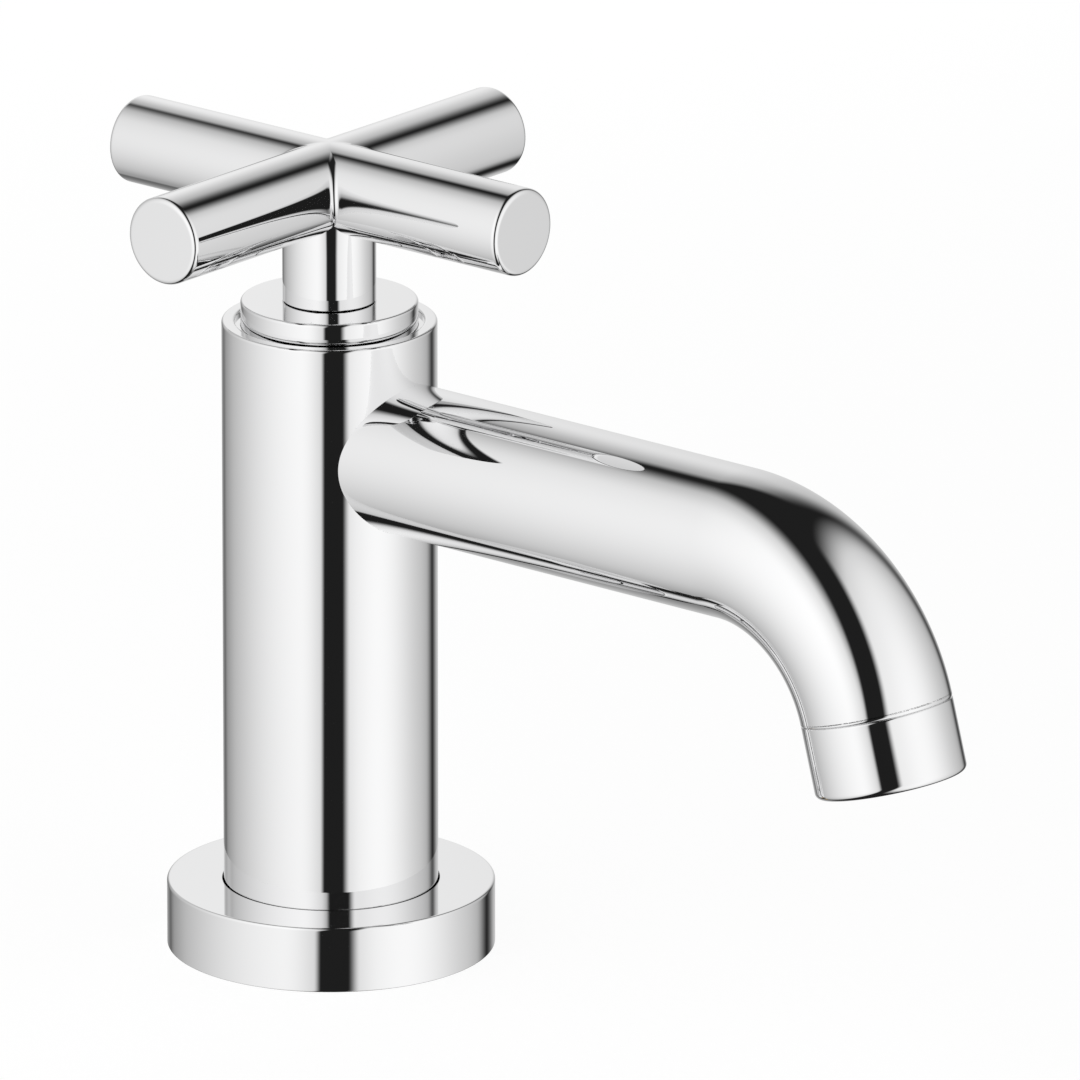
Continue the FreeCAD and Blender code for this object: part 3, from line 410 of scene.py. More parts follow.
# %% Spout tube
def spout_stations():
    """Place along the path, radius, and whether the ring lies on the column."""
    end = RUN + BEND_LENGTH
    straight = [(TUBE_START + (RUN - TUBE_START) * k / 24, TUBE_R, False) for k in range(24)]
    bend = [(RUN + BEND_LENGTH * k / 96, TUBE_R, False) for k in range(96)]
    edge = [(end - 2 * RIM, TUBE_R, False)]
    for k in range(6):
        a = math.pi / 2 * k / 5
        edge.append((end - RIM + RIM * math.sin(a), TUBE_R - RIM + RIM * math.cos(a), False))
    tip = end + NIPPLE_LENGTH
    corners = [(end, NIPPLE_R), (tip, NIPPLE_R), (tip, NIPPLE_BORE), (end, NIPPLE_BORE)]
    nipple = [(s, r, False) for s, r in corners]
    inside = [(RUN + BEND_LENGTH * k / 32, TUBE_INSIDE, False) for k in range(32, -1, -1)]
    root = [(TUBE_START, TUBE_INSIDE, False), (TUBE_START, 0, False)]
    saddle = [(COLUMN_R, r, True) for r in (0, 4, 8, 11.7, TUBE_R)]
    return saddle + straight + bend + edge + nipple + inside + root


spout_bm = bmesh.new()
spout_rings = [tube_ring(spout_bm, s, r, AROUND, seat) for s, r, seat in spout_stations()]
for ring, following in zip(spout_rings, spout_rings[1:]):
    join_rings(spout_bm, ring, following)
spout = piece_from(spout_bm, "spout_bent_tube", "tap_body", chrome, ["spout_tube"])

# %% Aerator sleeve
TO_OUTLET = Matrix.Translation(OUTLET * MM) @ Matrix.Rotation(BEND - math.pi / 2, 4, "X")
SLEEVE_LENGTH, SLEEVE_BORE, LIP = 11.7, 8.4, -10.4
sleeve_corners = [
    (TUBE_R, -SLEEVE_LENGTH, 1.0), (TUBE_R, 0.0, RIM), (NIPPLE_R, 0.0, 0),
    (NIPPLE_R, LIP, 0), (SLEEVE_BORE, LIP, 0), (SLEEVE_BORE, -SLEEVE_LENGTH, 0.2),
]
sleeve_bm = spun(rounded_profile(sleeve_corners, steps=12))
bmesh.ops.transform(sleeve_bm, matrix=TO_OUTLET, verts=sleeve_bm.verts)
sleeve = piece_from(sleeve_bm, "aerator_ring", "tap_body", chrome, ["aerator_sleeve"])

# %% [markdown]
# ## The outlet screen
# Under the spout the water leaves through a woven wire screen. A picture of a weave would
# be flat from close by, so the wires are real. It is a repeating thing that follows a
# rule, which is what Geometry Nodes are for: a row of straight wires is set side by
# side, each is shortened to the round opening, and a sine lifts it over and under the
# wires that cross it. The second layer is the first one, turned a quarter.

# %% Geometry Nodes helpers
def make_geometry_tree(name, inputs):
    """A Geometry Nodes tree with an input for each named number, and its two end nodes."""
    tree = bpy.data.node_groups.new(name, "GeometryNodeTree")
    tree.interface.new_socket("Geometry", in_out="INPUT", socket_type="NodeSocketGeometry")
    for label, value in inputs.items():
        kind = "NodeSocketInt" if isinstance(value, int) else "NodeSocketFloat"
        tree.interface.new_socket(label, in_out="INPUT", socket_type=kind).default_value = value
    tree.interface.new_socket("Material", in_out="INPUT", socket_type="NodeSocketMaterial")
    tree.interface.new_socket("Geometry", in_out="OUTPUT", socket_type="NodeSocketGeometry")
    return tree, tree.nodes.new("NodeGroupInput"), tree.nodes.new("NodeGroupOutput")


def calculate(tree, operation, *values):
    """A Math node on sockets or numbers. Its result socket is returned."""
    node = add(tree, "ShaderNodeMath", operation=operation)
    for socket, value in zip(node.inputs, values):
        if isinstance(value, (int, float)):
            socket.default_value = value
        else:
            tree.links.new(value, socket)
    return node.outputs["Value"]


def mesh_from_tree(tree, name, values, material):
    """Run the tree once with these input values and keep the result as a plain mesh."""
    holder = bpy.data.objects.new(name + "_holder", bpy.data.meshes.new(name + "_seed"))
    bpy.context.scene.collection.objects.link(holder)
    modifier = holder.modifiers.new("build", "NODES")
    modifier.node_group = tree
    for item in tree.interface.items_tree:
        if item.item_type == "SOCKET" and item.in_out == "INPUT" and item.name in values:
            modifier[item.identifier] = values[item.name]
        if item.item_type == "SOCKET" and item.in_out == "INPUT" and item.name == "Material":
            modifier[item.identifier] = material
    ready = holder.evaluated_get(bpy.context.evaluated_depsgraph_get())
    mesh = bpy.data.meshes.new_from_object(ready)
    bpy.data.objects.remove(holder)
    print(f"{name}: {len(mesh.vertices)} points from {tree.name}")
    return mesh


# %% Tree: woven screen
WEAVE = {"Screen Radius": 0.0086, "Pitch": 0.00072, "Wire Radius": 0.00012, "Lift": 0.00013, "Wires": 24}


def make_weave_tree():
    tree, given, made = make_geometry_tree("woven_screen", WEAVE)
    link = tree.links.new
    radius, pitch, lift = given.outputs["Screen Radius"], given.outputs["Pitch"], given.outputs["Lift"]
    line = add(tree, "GeometryNodeCurvePrimitiveLine")
    low, high = add(tree, "ShaderNodeCombineXYZ"), add(tree, "ShaderNodeCombineXYZ")
    link(calculate(tree, "MULTIPLY", radius, -1.0), low.inputs["Y"])
    link(radius, high.inputs["Y"])
    link(low.outputs["Vector"], line.inputs["Start"])
    link(high.outputs["Vector"], line.inputs["End"])
    resample = add(tree, "GeometryNodeResampleCurve", sockets={"Count": 76})
    section = add(tree, "GeometryNodeCurvePrimitiveCircle", sockets={"Resolution": 6})
    link(given.outputs["Wire Radius"], section.inputs["Radius"])
    wire_mesh = add(tree, "GeometryNodeCurveToMesh", sockets={"Fill Caps": True})
    link(line.outputs["Curve"], resample.inputs["Curve"])
    link(resample.outputs["Curve"], wire_mesh.inputs["Curve"])
    link(section.outputs["Curve"], wire_mesh.inputs["Profile Curve"])
    row = add(tree, "GeometryNodeMeshLine")
    link(given.outputs["Wires"], row.inputs["Count"])
    step, start = add(tree, "ShaderNodeCombineXYZ"), add(tree, "ShaderNodeCombineXYZ")
    link(pitch, step.inputs["X"])
    reach = calculate(tree, "MULTIPLY", calculate(tree, "SUBTRACT", given.outputs["Wires"], 1.0), pitch)
    link(calculate(tree, "MULTIPLY", reach, -0.5), start.inputs["X"])
    link(step.outputs["Vector"], row.inputs["Offset"])
    link(start.outputs["Vector"], row.inputs["Start Location"])
    wires = add(tree, "GeometryNodeInstanceOnPoints")
    link(row.outputs["Mesh"], wires.inputs["Points"])
    link(wire_mesh.outputs["Mesh"], wires.inputs["Instance"])
    order = add(tree, "GeometryNodeInputIndex")
    keep = add(tree, "GeometryNodeStoreNamedAttribute", data_type="INT", domain="INSTANCE")
    keep.inputs["Name"].default_value = "wire"
    link(wires.outputs["Instances"], keep.inputs["Geometry"])
    link(order.outputs["Index"], keep.inputs["Value"])
    loose = add(tree, "GeometryNodeRealizeInstances")
    link(keep.outputs["Geometry"], loose.inputs["Geometry"])
    place, parts = add(tree, "GeometryNodeInputPosition"), add(tree, "ShaderNodeSeparateXYZ")
    link(place.outputs["Position"], parts.inputs["Vector"])
    x, y, z = parts.outputs["X"], parts.outputs["Y"], parts.outputs["Z"]
    share = calculate(tree, "DIVIDE", x, radius)
    left = calculate(tree, "SUBTRACT", 1.0, calculate(tree, "MULTIPLY", share, share))
    room = calculate(tree, "SQRT", calculate(tree, "MAXIMUM", left, 0.01))
    short_y = calculate(tree, "MULTIPLY", y, room)
    named = add(tree, "GeometryNodeInputNamedAttribute", data_type="INT")
    named.inputs["Name"].default_value = "wire"
    phase = calculate(tree, "MULTIPLY", named.outputs["Attribute"], math.pi)
    half_waves = calculate(tree, "DIVIDE", calculate(tree, "MULTIPLY", short_y, math.pi), pitch)
    shifted = calculate(tree, "ADD", phase, math.pi / 2)
    swing = calculate(tree, "SINE", calculate(tree, "ADD", half_waves, shifted))
    woven_z = calculate(tree, "ADD", z, calculate(tree, "MULTIPLY", swing, lift))
    spot = add(tree, "ShaderNodeCombineXYZ")
    link(x, spot.inputs["X"])
    link(short_y, spot.inputs["Y"])
    link(woven_z, spot.inputs["Z"])
    move = add(tree, "GeometryNodeSetPosition")
    link(loose.outputs["Geometry"], move.inputs["Geometry"])
    link(spot.outputs["Vector"], move.inputs["Position"])
    cross = add(tree, "GeometryNodeTransform")
    cross.inputs["Rotation"].default_value = (math.pi, 0, math.pi / 2)
    link(move.outputs["Geometry"], cross.inputs["Geometry"])
    both = add(tree, "GeometryNodeJoinGeometry")
    link(move.outputs["Geometry"], both.inputs["Geometry"])
    link(cross.outputs["Geometry"], both.inputs["Geometry"])
    whole = add(tree, "GeometryNodeRealizeInstances")
    coat = add(tree, "GeometryNodeSetMaterial")
    link(both.outputs["Geometry"], whole.inputs["Geometry"])
    link(whole.outputs["Geometry"], coat.inputs["Geometry"])
    link(given.outputs["Material"], coat.inputs["Material"])
    link(coat.outputs["Geometry"], made.inputs["Geometry"])
    return tree


weave_mesh = mesh_from_tree(make_weave_tree(), "outlet_weave", WEAVE, wire)

# %% Screen in its rim
SCREEN_R, RIM_INSIDE, SCREEN_BASE, SCREEN_TOP = 8.9, 8.25, -10.38, -9.82
screen_rim = [
    (SCREEN_R, SCREEN_BASE, 0), (SCREEN_R, SCREEN_TOP, 0),
    (RIM_INSIDE, SCREEN_TOP, FINE_EDGE), (RIM_INSIDE, SCREEN_BASE, FINE_EDGE),
]
screen_bm = spun(rounded_profile(screen_rim, steps=3), around=96)
weave_bm = bmesh.new()
weave_bm.from_mesh(weave_mesh)
weave_z = (SCREEN_BASE + SCREEN_TOP) / 2 * MM
bmesh.ops.translate(weave_bm, vec=(0, 0, weave_z), verts=weave_bm.verts)
weave_bm.to_mesh(weave_mesh)
weave_bm.free()
screen_bm.from_mesh(weave_mesh)
bmesh.ops.transform(screen_bm, matrix=TO_OUTLET, verts=screen_bm.verts)
screen = piece_from(screen_bm, "outlet_screen", "tap_body", wire, ["aerator_screen"])

# %% [markdown]
# ## The cross handle
# Two equal bars cross at right angles on a short stem. Booleans would join them, but they
# leave long thin faces that spoil a mirror. The crossing of two equal cylinders is
# known: it lies on the two upright planes through the corners of the cross, where a
# point's distance from the centre equals its distance from the middle of the bar. In the
# metal that corner is a small hollow, so each of the four arms begins with half of the
# hollow and goes on as a tube. Below the bars, the arms start at the stem's side
# instead. The four arms are one arm, turned.

# %% Arm and stem of the handle
BAR_R, BAR_REACH, BAR_Z = 7.0, 40.0, 125.0
STEM_R, STEM_BASE = 7.4, 106.45
MITRE = STEM_R / math.sqrt(2)
HOLLOW, BAR_EDGE = 1.0, 0.85
FADE_FROM, FADE_OVER = 2.4, 1.9


def bar_angles():
    """Angles round a bar, with one exactly where mitre and stem meet."""
    meet = math.asin(MITRE / BAR_R)
    quarter = [meet * k / 26 for k in range(26)] + [meet + (math.pi / 2 - meet) * k / 22 for k in range(23)]
    half = quarter + [math.pi - a for a in reversed(quarter[:-1])]
    return half + [2 * math.pi - a for a in reversed(half[1:-1])]


def hollow_at(a):
    """Rounding of the inner corner, for the angle a from the top of the bar."""
    side = abs(BAR_R * math.sin(a))
    if math.cos(a) < 0:
        return HOLLOW * math.sqrt(max(0.0, (side - MITRE) / (BAR_R - MITRE)))
    return HOLLOW * min(1.0, max(0.0, (side - FADE_FROM) / FADE_OVER))


def arm_corner(a, turn):
    """A point of the arm's half of the hollow. Turn goes from 45 degrees at the mitre to 0."""
    across = BAR_R * math.sin(a)
    side, height = abs(across), BAR_Z + BAR_R * math.cos(a)
    if math.cos(a) < 0 and side < MITRE:
        return math.sqrt(STEM_R**2 - side**2), across, height
    hollow = hollow_at(a)
    out = side + hollow - hollow * math.cos(turn)
    return side + hollow - hollow * math.sin(turn), math.copysign(out, across), height


def arm_bmesh():
    bm = bmesh.new()
    angles = bar_angles()
    rings = [[arm_corner(a, math.pi / 4 * (1 - k / 8)) for a in angles] for k in range(9)]
    flat_end = BAR_REACH - BAR_EDGE - SUPPORT
    tube = [(flat_end, BAR_R)]
    for k in range(13):
        turned = math.pi / 2 * k / 12
        inwards, down = BAR_EDGE * (1 - math.sin(turned)), BAR_EDGE * (1 - math.cos(turned))
        tube.append((BAR_REACH - inwards, BAR_R - down))
    tube += [(BAR_REACH, BAR_R - BAR_EDGE - SUPPORT), (BAR_REACH, BAR_R / 2), (BAR_REACH, 0)]
    for share in (0.02, 0.1, 0.3, 0.5, 0.7, 0.9):
        first = rings[8]
        rings.append([(x + (flat_end - x) * share, y, z) for x, y, z in first])
    for x, r in tube:
        rings.append([(x, r * math.sin(a), BAR_Z + r * math.cos(a)) for a in angles])
    made = [[bm.verts.new(Vector(spot) * MM) for spot in ring] for ring in rings]
    for ring, following in zip(made, made[1:]):
        join_rings(bm, ring, following)
    return bm


# %% Join the arms to the stem
SOCKET_R, SOCKET_ROOF = 4.8, 117.6
STEM_EDGE, STEM_STEPS = 0.12, 6


def meeting_height(t):
    """Height at which the stem's side meets an arm, for the angle t round the stem."""
    side = min(abs(STEM_R * math.cos(t)), abs(STEM_R * math.sin(t)))
    return BAR_Z - math.sqrt(BAR_R**2 - side**2)


def stem_bmesh():
    """Stem with its bottom edge, its bore and the curve on which it meets the arms."""
    bm = bmesh.new()
    sides = sorted({round(math.asin(min(1.0, BAR_R * abs(math.sin(a)) / STEM_R)), 9)
                    for a in bar_angles() if abs(BAR_R * math.sin(a)) <= MITRE + 1e-9})
    eighth = [s for s in sides if s < math.pi / 4 + 1e-6]
    quarter = eighth + [math.pi / 2 - s for s in reversed(eighth[1:-1])]
    turns = [q * math.pi / 2 + s for q in range(4) for s in quarter]
    rings = [[(STEM_R, meeting_height(t), t) for t in turns]]
    for z in (115.5, 113.0, 110.0, 108.0, STEM_BASE + STEM_EDGE + SUPPORT):
        rings.append([(STEM_R, z, t) for t in turns])
    for k in range(STEM_STEPS + 1):
        turned = math.pi / 2 * k / STEM_STEPS
        radius = STEM_R - STEM_EDGE + STEM_EDGE * math.cos(turned)
        z = STEM_BASE + STEM_EDGE - STEM_EDGE * math.sin(turned)
        rings.append([(radius, z, t) for t in turns])
    socket = [(SOCKET_R, STEM_BASE), (SOCKET_R, SOCKET_ROOF), (0, SOCKET_ROOF)]
    for radius, z in [(STEM_R - STEM_EDGE - SUPPORT, STEM_BASE)] + socket:
        rings.append([(radius, z, t) for t in turns])
    made = []
    for ring in rings:
        spots = [(r * MM * math.cos(t), r * MM * math.sin(t), z * MM) for r, z, t in ring]
        made.append([bm.verts.new(spot) for spot in spots])
    for ring, following in zip(made, made[1:]):
        join_rings(bm, ring, following)
    return bm


handle_bm = stem_bmesh()
arm_mesh = bpy.data.meshes.new("one_arm")
arm_bmesh().to_mesh(arm_mesh)
for quarter in range(4):
    before = len(handle_bm.verts)
    handle_bm.from_mesh(arm_mesh)
    handle_bm.verts.ensure_lookup_table()
    added = handle_bm.verts[before:]
    turn = Matrix.Rotation(quarter * math.pi / 2, 3, "Z")
    bmesh.ops.rotate(handle_bm, verts=added, cent=(0, 0, 0), matrix=turn)
bmesh.ops.remove_doubles(handle_bm, verts=handle_bm.verts, dist=2e-6)

# %% [markdown]
# The set screw sits in a cross hole at the back of the stem. One round hole in a plain
# cylinder is a good place for a Boolean: the cut faces stay on the back of the stem, and
# the edges of the hole are marked as crisp, so they don't bend the mirror round it.

# %% Hole for the set screw
HOLE_R, HOLE_Z = 2.05, 111.2
DRILL_Y, DRILL_LENGTH = 6.5, 5


def with_hole(bm):
    """The bmesh with the set screw's hole cut from the +Y side into the socket."""
    whole = bpy.data.objects.new("handle_whole", bpy.data.meshes.new("handle_whole"))
    drill = bpy.data.objects.new("hole_drill", bpy.data.meshes.new("hole_drill"))
    bmesh.ops.recalc_face_normals(bm, faces=bm.faces)
    bm.to_mesh(whole.data)
    turn = Matrix.Translation((0, DRILL_Y * MM, HOLE_Z * MM)) @ Matrix.Rotation(math.pi / 2, 4, "X")
    tool = bmesh.new()
    bmesh.ops.create_cone(
        tool, cap_ends=True, segments=48, radius1=HOLE_R * MM, radius2=HOLE_R * MM,
        depth=DRILL_LENGTH * MM, matrix=turn,
    )
    tool.to_mesh(drill.data)
    tool.free()
    for part in (whole, drill):
        bpy.context.scene.collection.objects.link(part)
    cut = whole.modifiers.new("hole", "BOOLEAN")
    cut.object, cut.operation, cut.solver = drill, "DIFFERENCE", "EXACT"
    ready = whole.evaluated_get(bpy.context.evaluated_depsgraph_get())
    mesh = bpy.data.meshes.new_from_object(ready)
    bm.clear()
    bm.from_mesh(mesh)
    for part in (whole, drill):
        bpy.data.objects.remove(part)
    print("set screw hole:", len(bm.faces), "faces")
    return bm


# %% Cross handle
handle_bm = with_hole(handle_bm)
handle = piece_from(handle_bm, "cross_bars", "handle", chrome, ["cross_handle"], crease=24)

# %% [markdown]
# ## The threaded shank
# Below the deck the tap ends in a hollow threaded shank. A thread follows a rule, so it is a
# second Geometry Nodes tree: a grid is wrapped round the axis, and its radius swings
# between root and crest with the height, one turn later by one pitch. The same grid
# also makes the bore and the two end faces, so the mesh closes.

# %% Tree: thread
THREAD = {
    "Crest Radius": 0.0104775, "Depth": 0.00116, "Pitch": 0.001814, "Bore Radius": 0.0065,
    "Bottom": -0.055, "Top": 0.017, "Around": 97, "Rows": 640,
}
LEAD_IN = 0.0012


def make_thread_tree():
    tree, given, made = make_geometry_tree("pipe_thread", THREAD)
    link = tree.links.new
    crest, depth, pitch = given.outputs["Crest Radius"], given.outputs["Depth"], given.outputs["Pitch"]
    bottom, top = given.outputs["Bottom"], given.outputs["Top"]
    sheet = add(tree, "GeometryNodeMeshGrid", sockets={"Size X": 1.0, "Size Y": 1.0})
    link(given.outputs["Around"], sheet.inputs["Vertices X"])
    link(given.outputs["Rows"], sheet.inputs["Vertices Y"])
    place, parts = add(tree, "GeometryNodeInputPosition"), add(tree, "ShaderNodeSeparateXYZ")
    link(place.outputs["Position"], parts.inputs["Vector"])
    angle = calculate(tree, "MULTIPLY", calculate(tree, "ADD", parts.outputs["X"], 0.5), 2 * math.pi)
    order = add(tree, "GeometryNodeInputIndex")
    row = calculate(tree, "MODULO", order.outputs["Index"], given.outputs["Rows"])
    last = calculate(tree, "SUBTRACT", given.outputs["Rows"], 1.0)
    outer_rows = calculate(tree, "SUBTRACT", last, 3.0)
    share = calculate(tree, "DIVIDE", calculate(tree, "SUBTRACT", row, 2.0), outer_rows)
    rise = calculate(tree, "MINIMUM", calculate(tree, "MAXIMUM", share, 0.0), 1.0)
    whole_height = calculate(tree, "SUBTRACT", top, bottom)
    height = calculate(tree, "ADD", bottom, calculate(tree, "MULTIPLY", rise, whole_height))
    part_turn = calculate(tree, "DIVIDE", angle, 2 * math.pi)
    turns = calculate(tree, "SUBTRACT", calculate(tree, "DIVIDE", height, pitch), part_turn)
    tooth = calculate(tree, "PINGPONG", turns, 0.5)
    flank = add(tree, "ShaderNodeMapRange", sockets={"From Min": 0.06, "From Max": 0.44})
    link(tooth, flank.inputs["Value"])
    cut = calculate(tree, "MULTIPLY", flank.outputs["Result"], depth)
    threaded = calculate(tree, "SUBTRACT", crest, cut)
    from_end = calculate(tree, "SUBTRACT", height, bottom)
    lead_in = calculate(tree, "ADD", calculate(tree, "SUBTRACT", crest, LEAD_IN), from_end)
    outside = calculate(tree, "MINIMUM", threaded, lead_in)
    first_two = calculate(tree, "LESS_THAN", row, 1.5)
    last_one = calculate(tree, "GREATER_THAN", row, calculate(tree, "SUBTRACT", last, 0.5))
    on_bore = calculate(tree, "MAXIMUM", first_two, last_one)
    mix_r = add(tree, "ShaderNodeMix")
    link(on_bore, mix_r.inputs["Factor"])
    link(outside, mix_r.inputs["A"])
    link(given.outputs["Bore Radius"], mix_r.inputs["B"])
    at_top = calculate(tree, "MAXIMUM", calculate(tree, "LESS_THAN", row, 0.5), last_one)
    mix_z = add(tree, "ShaderNodeMix")
    link(at_top, mix_z.inputs["Factor"])
    link(height, mix_z.inputs["A"])
    link(top, mix_z.inputs["B"])
    spot = add(tree, "ShaderNodeCombineXYZ")
    for axis, wave in (("X", "COSINE"), ("Y", "SINE")):
        along = calculate(tree, "MULTIPLY", mix_r.outputs["Result"], calculate(tree, wave, angle))
        link(along, spot.inputs[axis])
    link(mix_z.outputs["Result"], spot.inputs["Z"])
    move = add(tree, "GeometryNodeSetPosition")
    weld = add(tree, "GeometryNodeMergeByDistance", sockets={"Distance": 1e-6})
    whole, coat = add(tree, "GeometryNodeRealizeInstances"), add(tree, "GeometryNodeSetMaterial")
    link(sheet.outputs["Mesh"], move.inputs["Geometry"])
    link(spot.outputs["Vector"], move.inputs["Position"])
    link(move.outputs["Geometry"], weld.inputs["Geometry"])
    link(weld.outputs["Geometry"], whole.inputs["Geometry"])
    link(whole.outputs["Geometry"], coat.inputs["Geometry"])
    link(given.outputs["Material"], coat.inputs["Material"])
    link(coat.outputs["Geometry"], made.inputs["Geometry"])
    return tree


thread_mesh = mesh_from_tree(make_thread_tree(), "shank_thread", THREAD, brass)
shank_bm = bmesh.new()
shank_bm.from_mesh(thread_mesh)
shank = piece_from(shank_bm, "shank_threaded", "tap_body", brass, ["threaded_shank"], crease=50)

# %% [markdown]
# ## The pieces that stay
# Nuts, washers, seals and everything inside the valve have the right shape in the model
# already. They keep it and only get their finish, by the record's material slots.

# %% Finishes for the model's own pieces
slot_of = {part["node"]: part["material_slot"] for part in frame["record"]["subparts"]}
own_pieces = (rosette, column, collar, spout, sleeve, screen, handle, shank)
stood_for = {name for piece in own_pieces for name in piece["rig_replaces"]}
for name, node in sorted(NODES.items()):
    if name in stood_for:
        continue
    finish = FINISH[slot_of[name]]
    node.data.materials.clear()
    node.data.materials.append(finish)
print("kept from the model:", len(NODES) - len(stood_for))

# %% [markdown]
# ## The studio
# A chrome tap is photographed inside a tent of white panels: here one to the left, one to
# the right and one behind, with straight dark gaps where they don't meet. What the metal
# shows is those panels, the gaps, and the way each panel dims towards its sides. The
# tent could be three lit planes, but then every soft edge would need its own picture. It
# is a dome instead, on which a panel is everything on one side of each of its edges. An
# edge is a plane through the dome, so it is given by a direction, by how far along that
# direction the panel starts, and by how softly. The camera looks through the dome.

# %% Group: one edge of a light panel
def smooth_step(tree, value, start, end):
    """0 before start, 1 after end, smooth between."""
    node = add(tree, "ShaderNodeMapRange", interpolation_type="SMOOTHSTEP")
    for socket, source in (("Value", value), ("From Min", start), ("From Max", end)):
        tree.links.new(source, node.inputs[socket])
    return node.outputs["Result"]


def dot(tree, direction, vector):
    """How far a direction goes along a vector."""
    node = add(tree, "ShaderNodeVectorMath", operation="DOT_PRODUCT")
    tree.links.new(direction, node.inputs[0])
    if isinstance(vector, Vector):
        node.inputs[1].default_value = vector
    else:
        tree.links.new(vector, node.inputs[1])
    return node.outputs["Value"]


def make_panel_edge():
    inputs = [("Start", 0.0), ("Soft", 0.1), ("Fade", 0.3), ("Fade Width", 0.5)]
    group, given, made = make_group("panel_edge", inputs, [("Mask", "NodeSocketFloat")])
    for label in ("Direction", "Towards Panel"):
        group.interface.new_socket(label, in_out="INPUT", socket_type="NodeSocketVector")
    get = given.outputs
    along = dot(group, get["Direction"], get["Towards Panel"])
    full = calculate(group, "ADD", get["Start"], get["Soft"])
    edge = smooth_step(group, along, get["Start"], full)
    bright = smooth_step(group, along, get["Start"], calculate(group, "ADD", full, get["Fade Width"]))
    dimmed = calculate(group, "MULTIPLY", get["Fade"], calculate(group, "SUBTRACT", 1.0, bright))
    lit = calculate(group, "MULTIPLY", edge, calculate(group, "SUBTRACT", 1.0, dimmed))
    group.links.new(lit, made.inputs["Mask"])
    return group


panel_edge = make_panel_edge()
print("group:", panel_edge.name)

# %% [markdown]
# The heading gives the studio its left, right and back. It is the way the photographer
# faced, but it is fixed in the room: the panels stay put when the tap is seen from
# elsewhere. Their numbers were read off the tap itself: the place of each gap in the
# metal tells on which side of the room that gap lies.

# %% Panels
HEADING = Vector((0.72774, 0.61470, 0)).normalized()
RIGHTWARDS = Vector((HEADING.y, -HEADING.x, 0))
DOME_RADIUS, DOME_CENTRE = 0.6, Vector((0, 0, 0.06))
FLOOR_RADIUS, FLOOR_GLOW = 0.98, 0.88
DARK = 0.0145


def aim(turn, lift):
    """Direction from its angle to the right of the camera's side, and its height in degrees."""
    turn, lift = math.radians(turn), math.radians(lift)
    level = RIGHTWARDS * math.sin(turn) - HEADING * math.cos(turn)
    return level * math.cos(lift) + Vector((0, 0, math.sin(lift)))


# Edges: turn, lift, start, soft, fade, fade width. Light: level, more to the right, away, up.
PANELS = {
    "right": ([(111.2, -9.0, -0.088, 0.140, 0.45, 0.88), (70.7, 1.7, 0.288, 0.275, 0.35, 0.17)],
             (1.291, -0.493, -0.62, 0.090)),
    "left": ([(-80.0, 8.0, 0.203, 0.075, 0.00, 0.10), (-76.5, 0.6, 0.143, 0.254, 0.42, 0.29)],
             (0.678, -0.128, -0.41, 0.150)),
    "back": ([(-144.8, 4.1, 0.183, 0.335, 0.11, 1.09), (52.0, 15.0, -1.053, 0.566, 0.00, 0.58),
              (157.3, -7.0, 0.275, 0.150, 0.59, 0.43)],
             (0.264, -0.702, 0.655, 0.222)),
}
print("panels:", {name: len(edges) for name, (edges, light) in PANELS.items()})


# %% Dome material
def make_dome_material():
    material = bpy.data.materials.new("studio_dome")
    material.use_nodes = True
    tree = material.node_tree
    tree.nodes.clear()
    link = tree.links.new
    place = add(tree, "ShaderNodeTexCoord")
    outward = add(tree, "ShaderNodeVectorMath", operation="SUBTRACT")
    outward.inputs[1].default_value = DOME_CENTRE
    unit = add(tree, "ShaderNodeVectorMath", operation="NORMALIZE")
    link(place.outputs["Object"], outward.inputs[0])
    link(outward.outputs["Vector"], unit.inputs[0])
    direction = unit.outputs["Vector"]
    light = DARK
    for edges, (level, to_right, away, up) in PANELS.values():
        slope = RIGHTWARDS * to_right + HEADING * away + Vector((0, 0, up))
        panel = calculate(tree, "MAXIMUM", calculate(tree, "ADD", dot(tree, direction, slope), level), 0.0)
        for turn, lift, *numbers in edges:
            sockets = dict(zip(("Start", "Soft", "Fade", "Fade Width"), numbers))
            edge = add(tree, "ShaderNodeGroup", node_tree=panel_edge, sockets=sockets)
            edge.inputs["Towards Panel"].default_value = aim(turn, lift)
            link(direction, edge.inputs["Direction"])
            panel = calculate(tree, "MULTIPLY", panel, edge.outputs["Mask"])
        light = calculate(tree, "ADD", light, panel)
    glow, clear = add(tree, "ShaderNodeEmission"), add(tree, "ShaderNodeBsdfTransparent")
    link(light, glow.inputs["Strength"])
    seen, pick = add(tree, "ShaderNodeLightPath"), add(tree, "ShaderNodeMixShader")
    link(seen.outputs["Is Camera Ray"], pick.inputs["Fac"])
    link(glow.outputs["Emission"], pick.inputs[1])
    link(clear.outputs["BSDF"], pick.inputs[2])
    link(pick.outputs["Shader"], add(tree, "ShaderNodeOutputMaterial").inputs["Surface"])
    material.cycles.emission_sampling = "NONE"
    return material


# %% Dome, floor and world
def stage_object(bm, name, material):
    mesh = bpy.data.meshes.new(name)
    bm.to_mesh(mesh)
    bm.free()
    mesh.materials.append(material)
    made = bpy.data.objects.new(name, mesh)
    bpy.context.scene.collection.objects.link(made)
    return made


dome_bm = bmesh.new()
bmesh.ops.create_icosphere(dome_bm, subdivisions=6, radius=DOME_RADIUS)
bmesh.ops.translate(dome_bm, vec=DOME_CENTRE, verts=dome_bm.verts)
bmesh.ops.reverse_faces(dome_bm, faces=dome_bm.faces)
dome = stage_object(dome_bm, "studio_dome", make_dome_material())


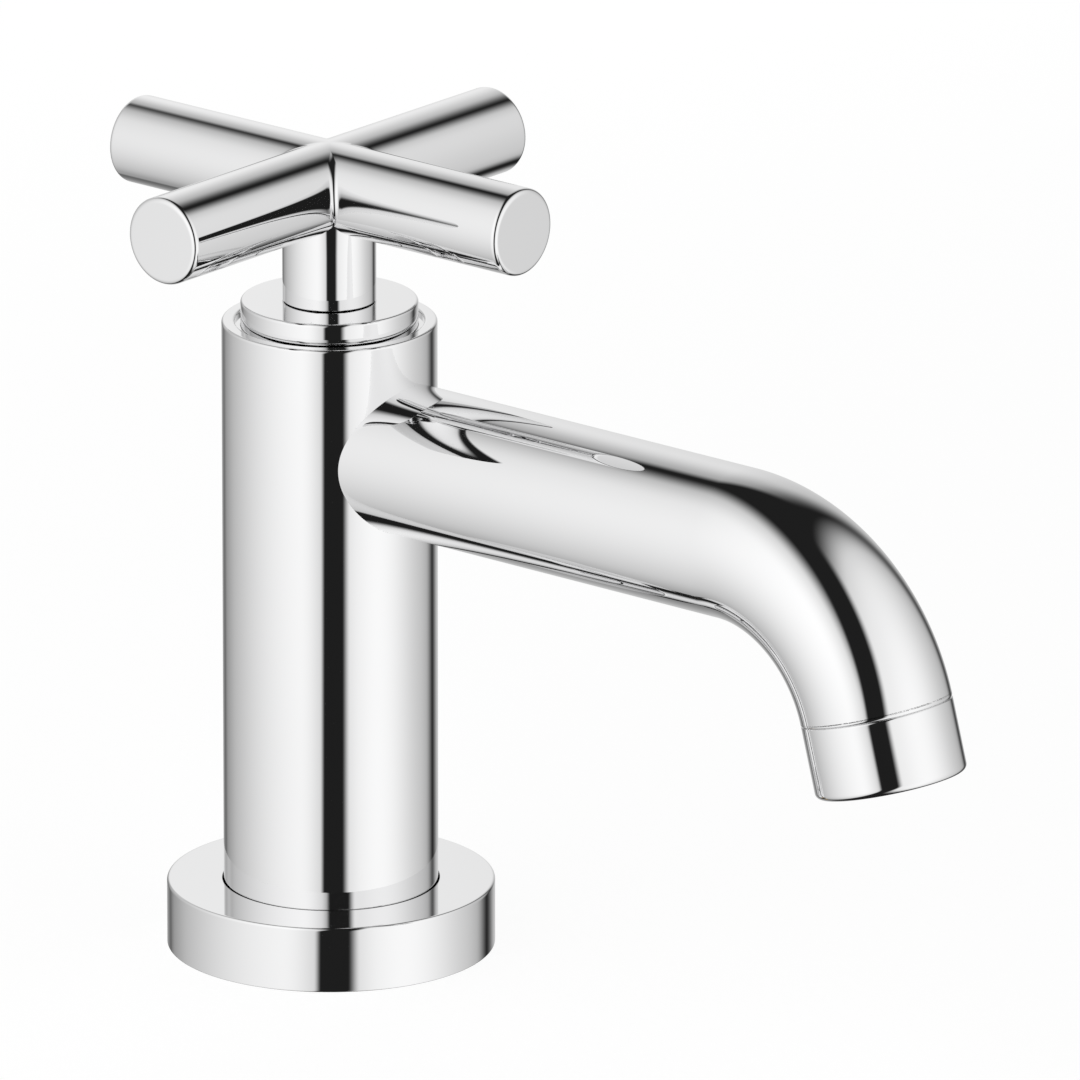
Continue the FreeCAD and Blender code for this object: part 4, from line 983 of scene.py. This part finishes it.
def make_floor_material():
    """White from above for the camera, with a faint shadow. Nothing else meets it."""
    material = bpy.data.materials.new("white_floor")
    material.use_nodes = True
    tree = material.node_tree
    tree.nodes.clear()
    link = tree.links.new
    glow = add(tree, "ShaderNodeEmission", sockets={"Strength": FLOOR_GLOW})
    matt = add(tree, "ShaderNodeBsdfDiffuse", sockets={"Color": (0.2, 0.2, 0.2, 1)})
    both, pick = add(tree, "ShaderNodeAddShader"), add(tree, "ShaderNodeMixShader")
    link(glow.outputs["Emission"], both.inputs[0])
    link(matt.outputs["BSDF"], both.inputs[1])
    seen, side = add(tree, "ShaderNodeLightPath"), add(tree, "ShaderNodeNewGeometry")
    front = calculate(tree, "SUBTRACT", 1.0, side.outputs["Backfacing"])
    link(calculate(tree, "MULTIPLY", seen.outputs["Is Camera Ray"], front), pick.inputs["Fac"])
    link(add(tree, "ShaderNodeBsdfTransparent").outputs["BSDF"], pick.inputs[1])
    link(both.outputs["Shader"], pick.inputs[2])
    link(pick.outputs["Shader"], add(tree, "ShaderNodeOutputMaterial").inputs["Surface"])
    return material


floor_bm = bmesh.new()
bmesh.ops.create_circle(floor_bm, cap_ends=True, segments=64, radius=FLOOR_RADIUS)
floor = stage_object(floor_bm, "studio_floor", make_floor_material())

# %% World
world = bpy.data.worlds.new("white_room")
bpy.context.scene.world = world
world.use_nodes = True
world.node_tree.nodes["Background"].inputs["Color"].default_value = (1, 1, 1, 1)
world.node_tree.nodes["Background"].inputs["Strength"].default_value = 1.0
bpy.context.scene.view_settings.view_transform = "Standard"
print("studio:", dome.name, floor.name, world.name)

# %% [markdown]
# ## The camera
# The photograph was taken with a long lens from the front left and a little above. The
# place, aim and lens below put the outline of the tap on the outline in the photograph,
# with no shift.

# %% Camera
lens = bpy.data.cameras.new("long_lens")
lens.sensor_width = 36.0
lens.lens = 763.41
lens.clip_start, lens.clip_end = 0.1, 100.0
camera = bpy.data.objects.new("camera", lens)
bpy.context.scene.collection.objects.link(camera)
camera.location = (-2.60740, -2.24573, 1.16542)
camera.rotation_mode = "QUATERNION"
camera.rotation_quaternion = Vector((0.72774, 0.61470, -0.30422)).to_track_quat("-Z", "Y")
bpy.context.scene.camera = camera
print("camera at", tuple(round(v, 3) for v in camera.location), "lens", lens.lens)
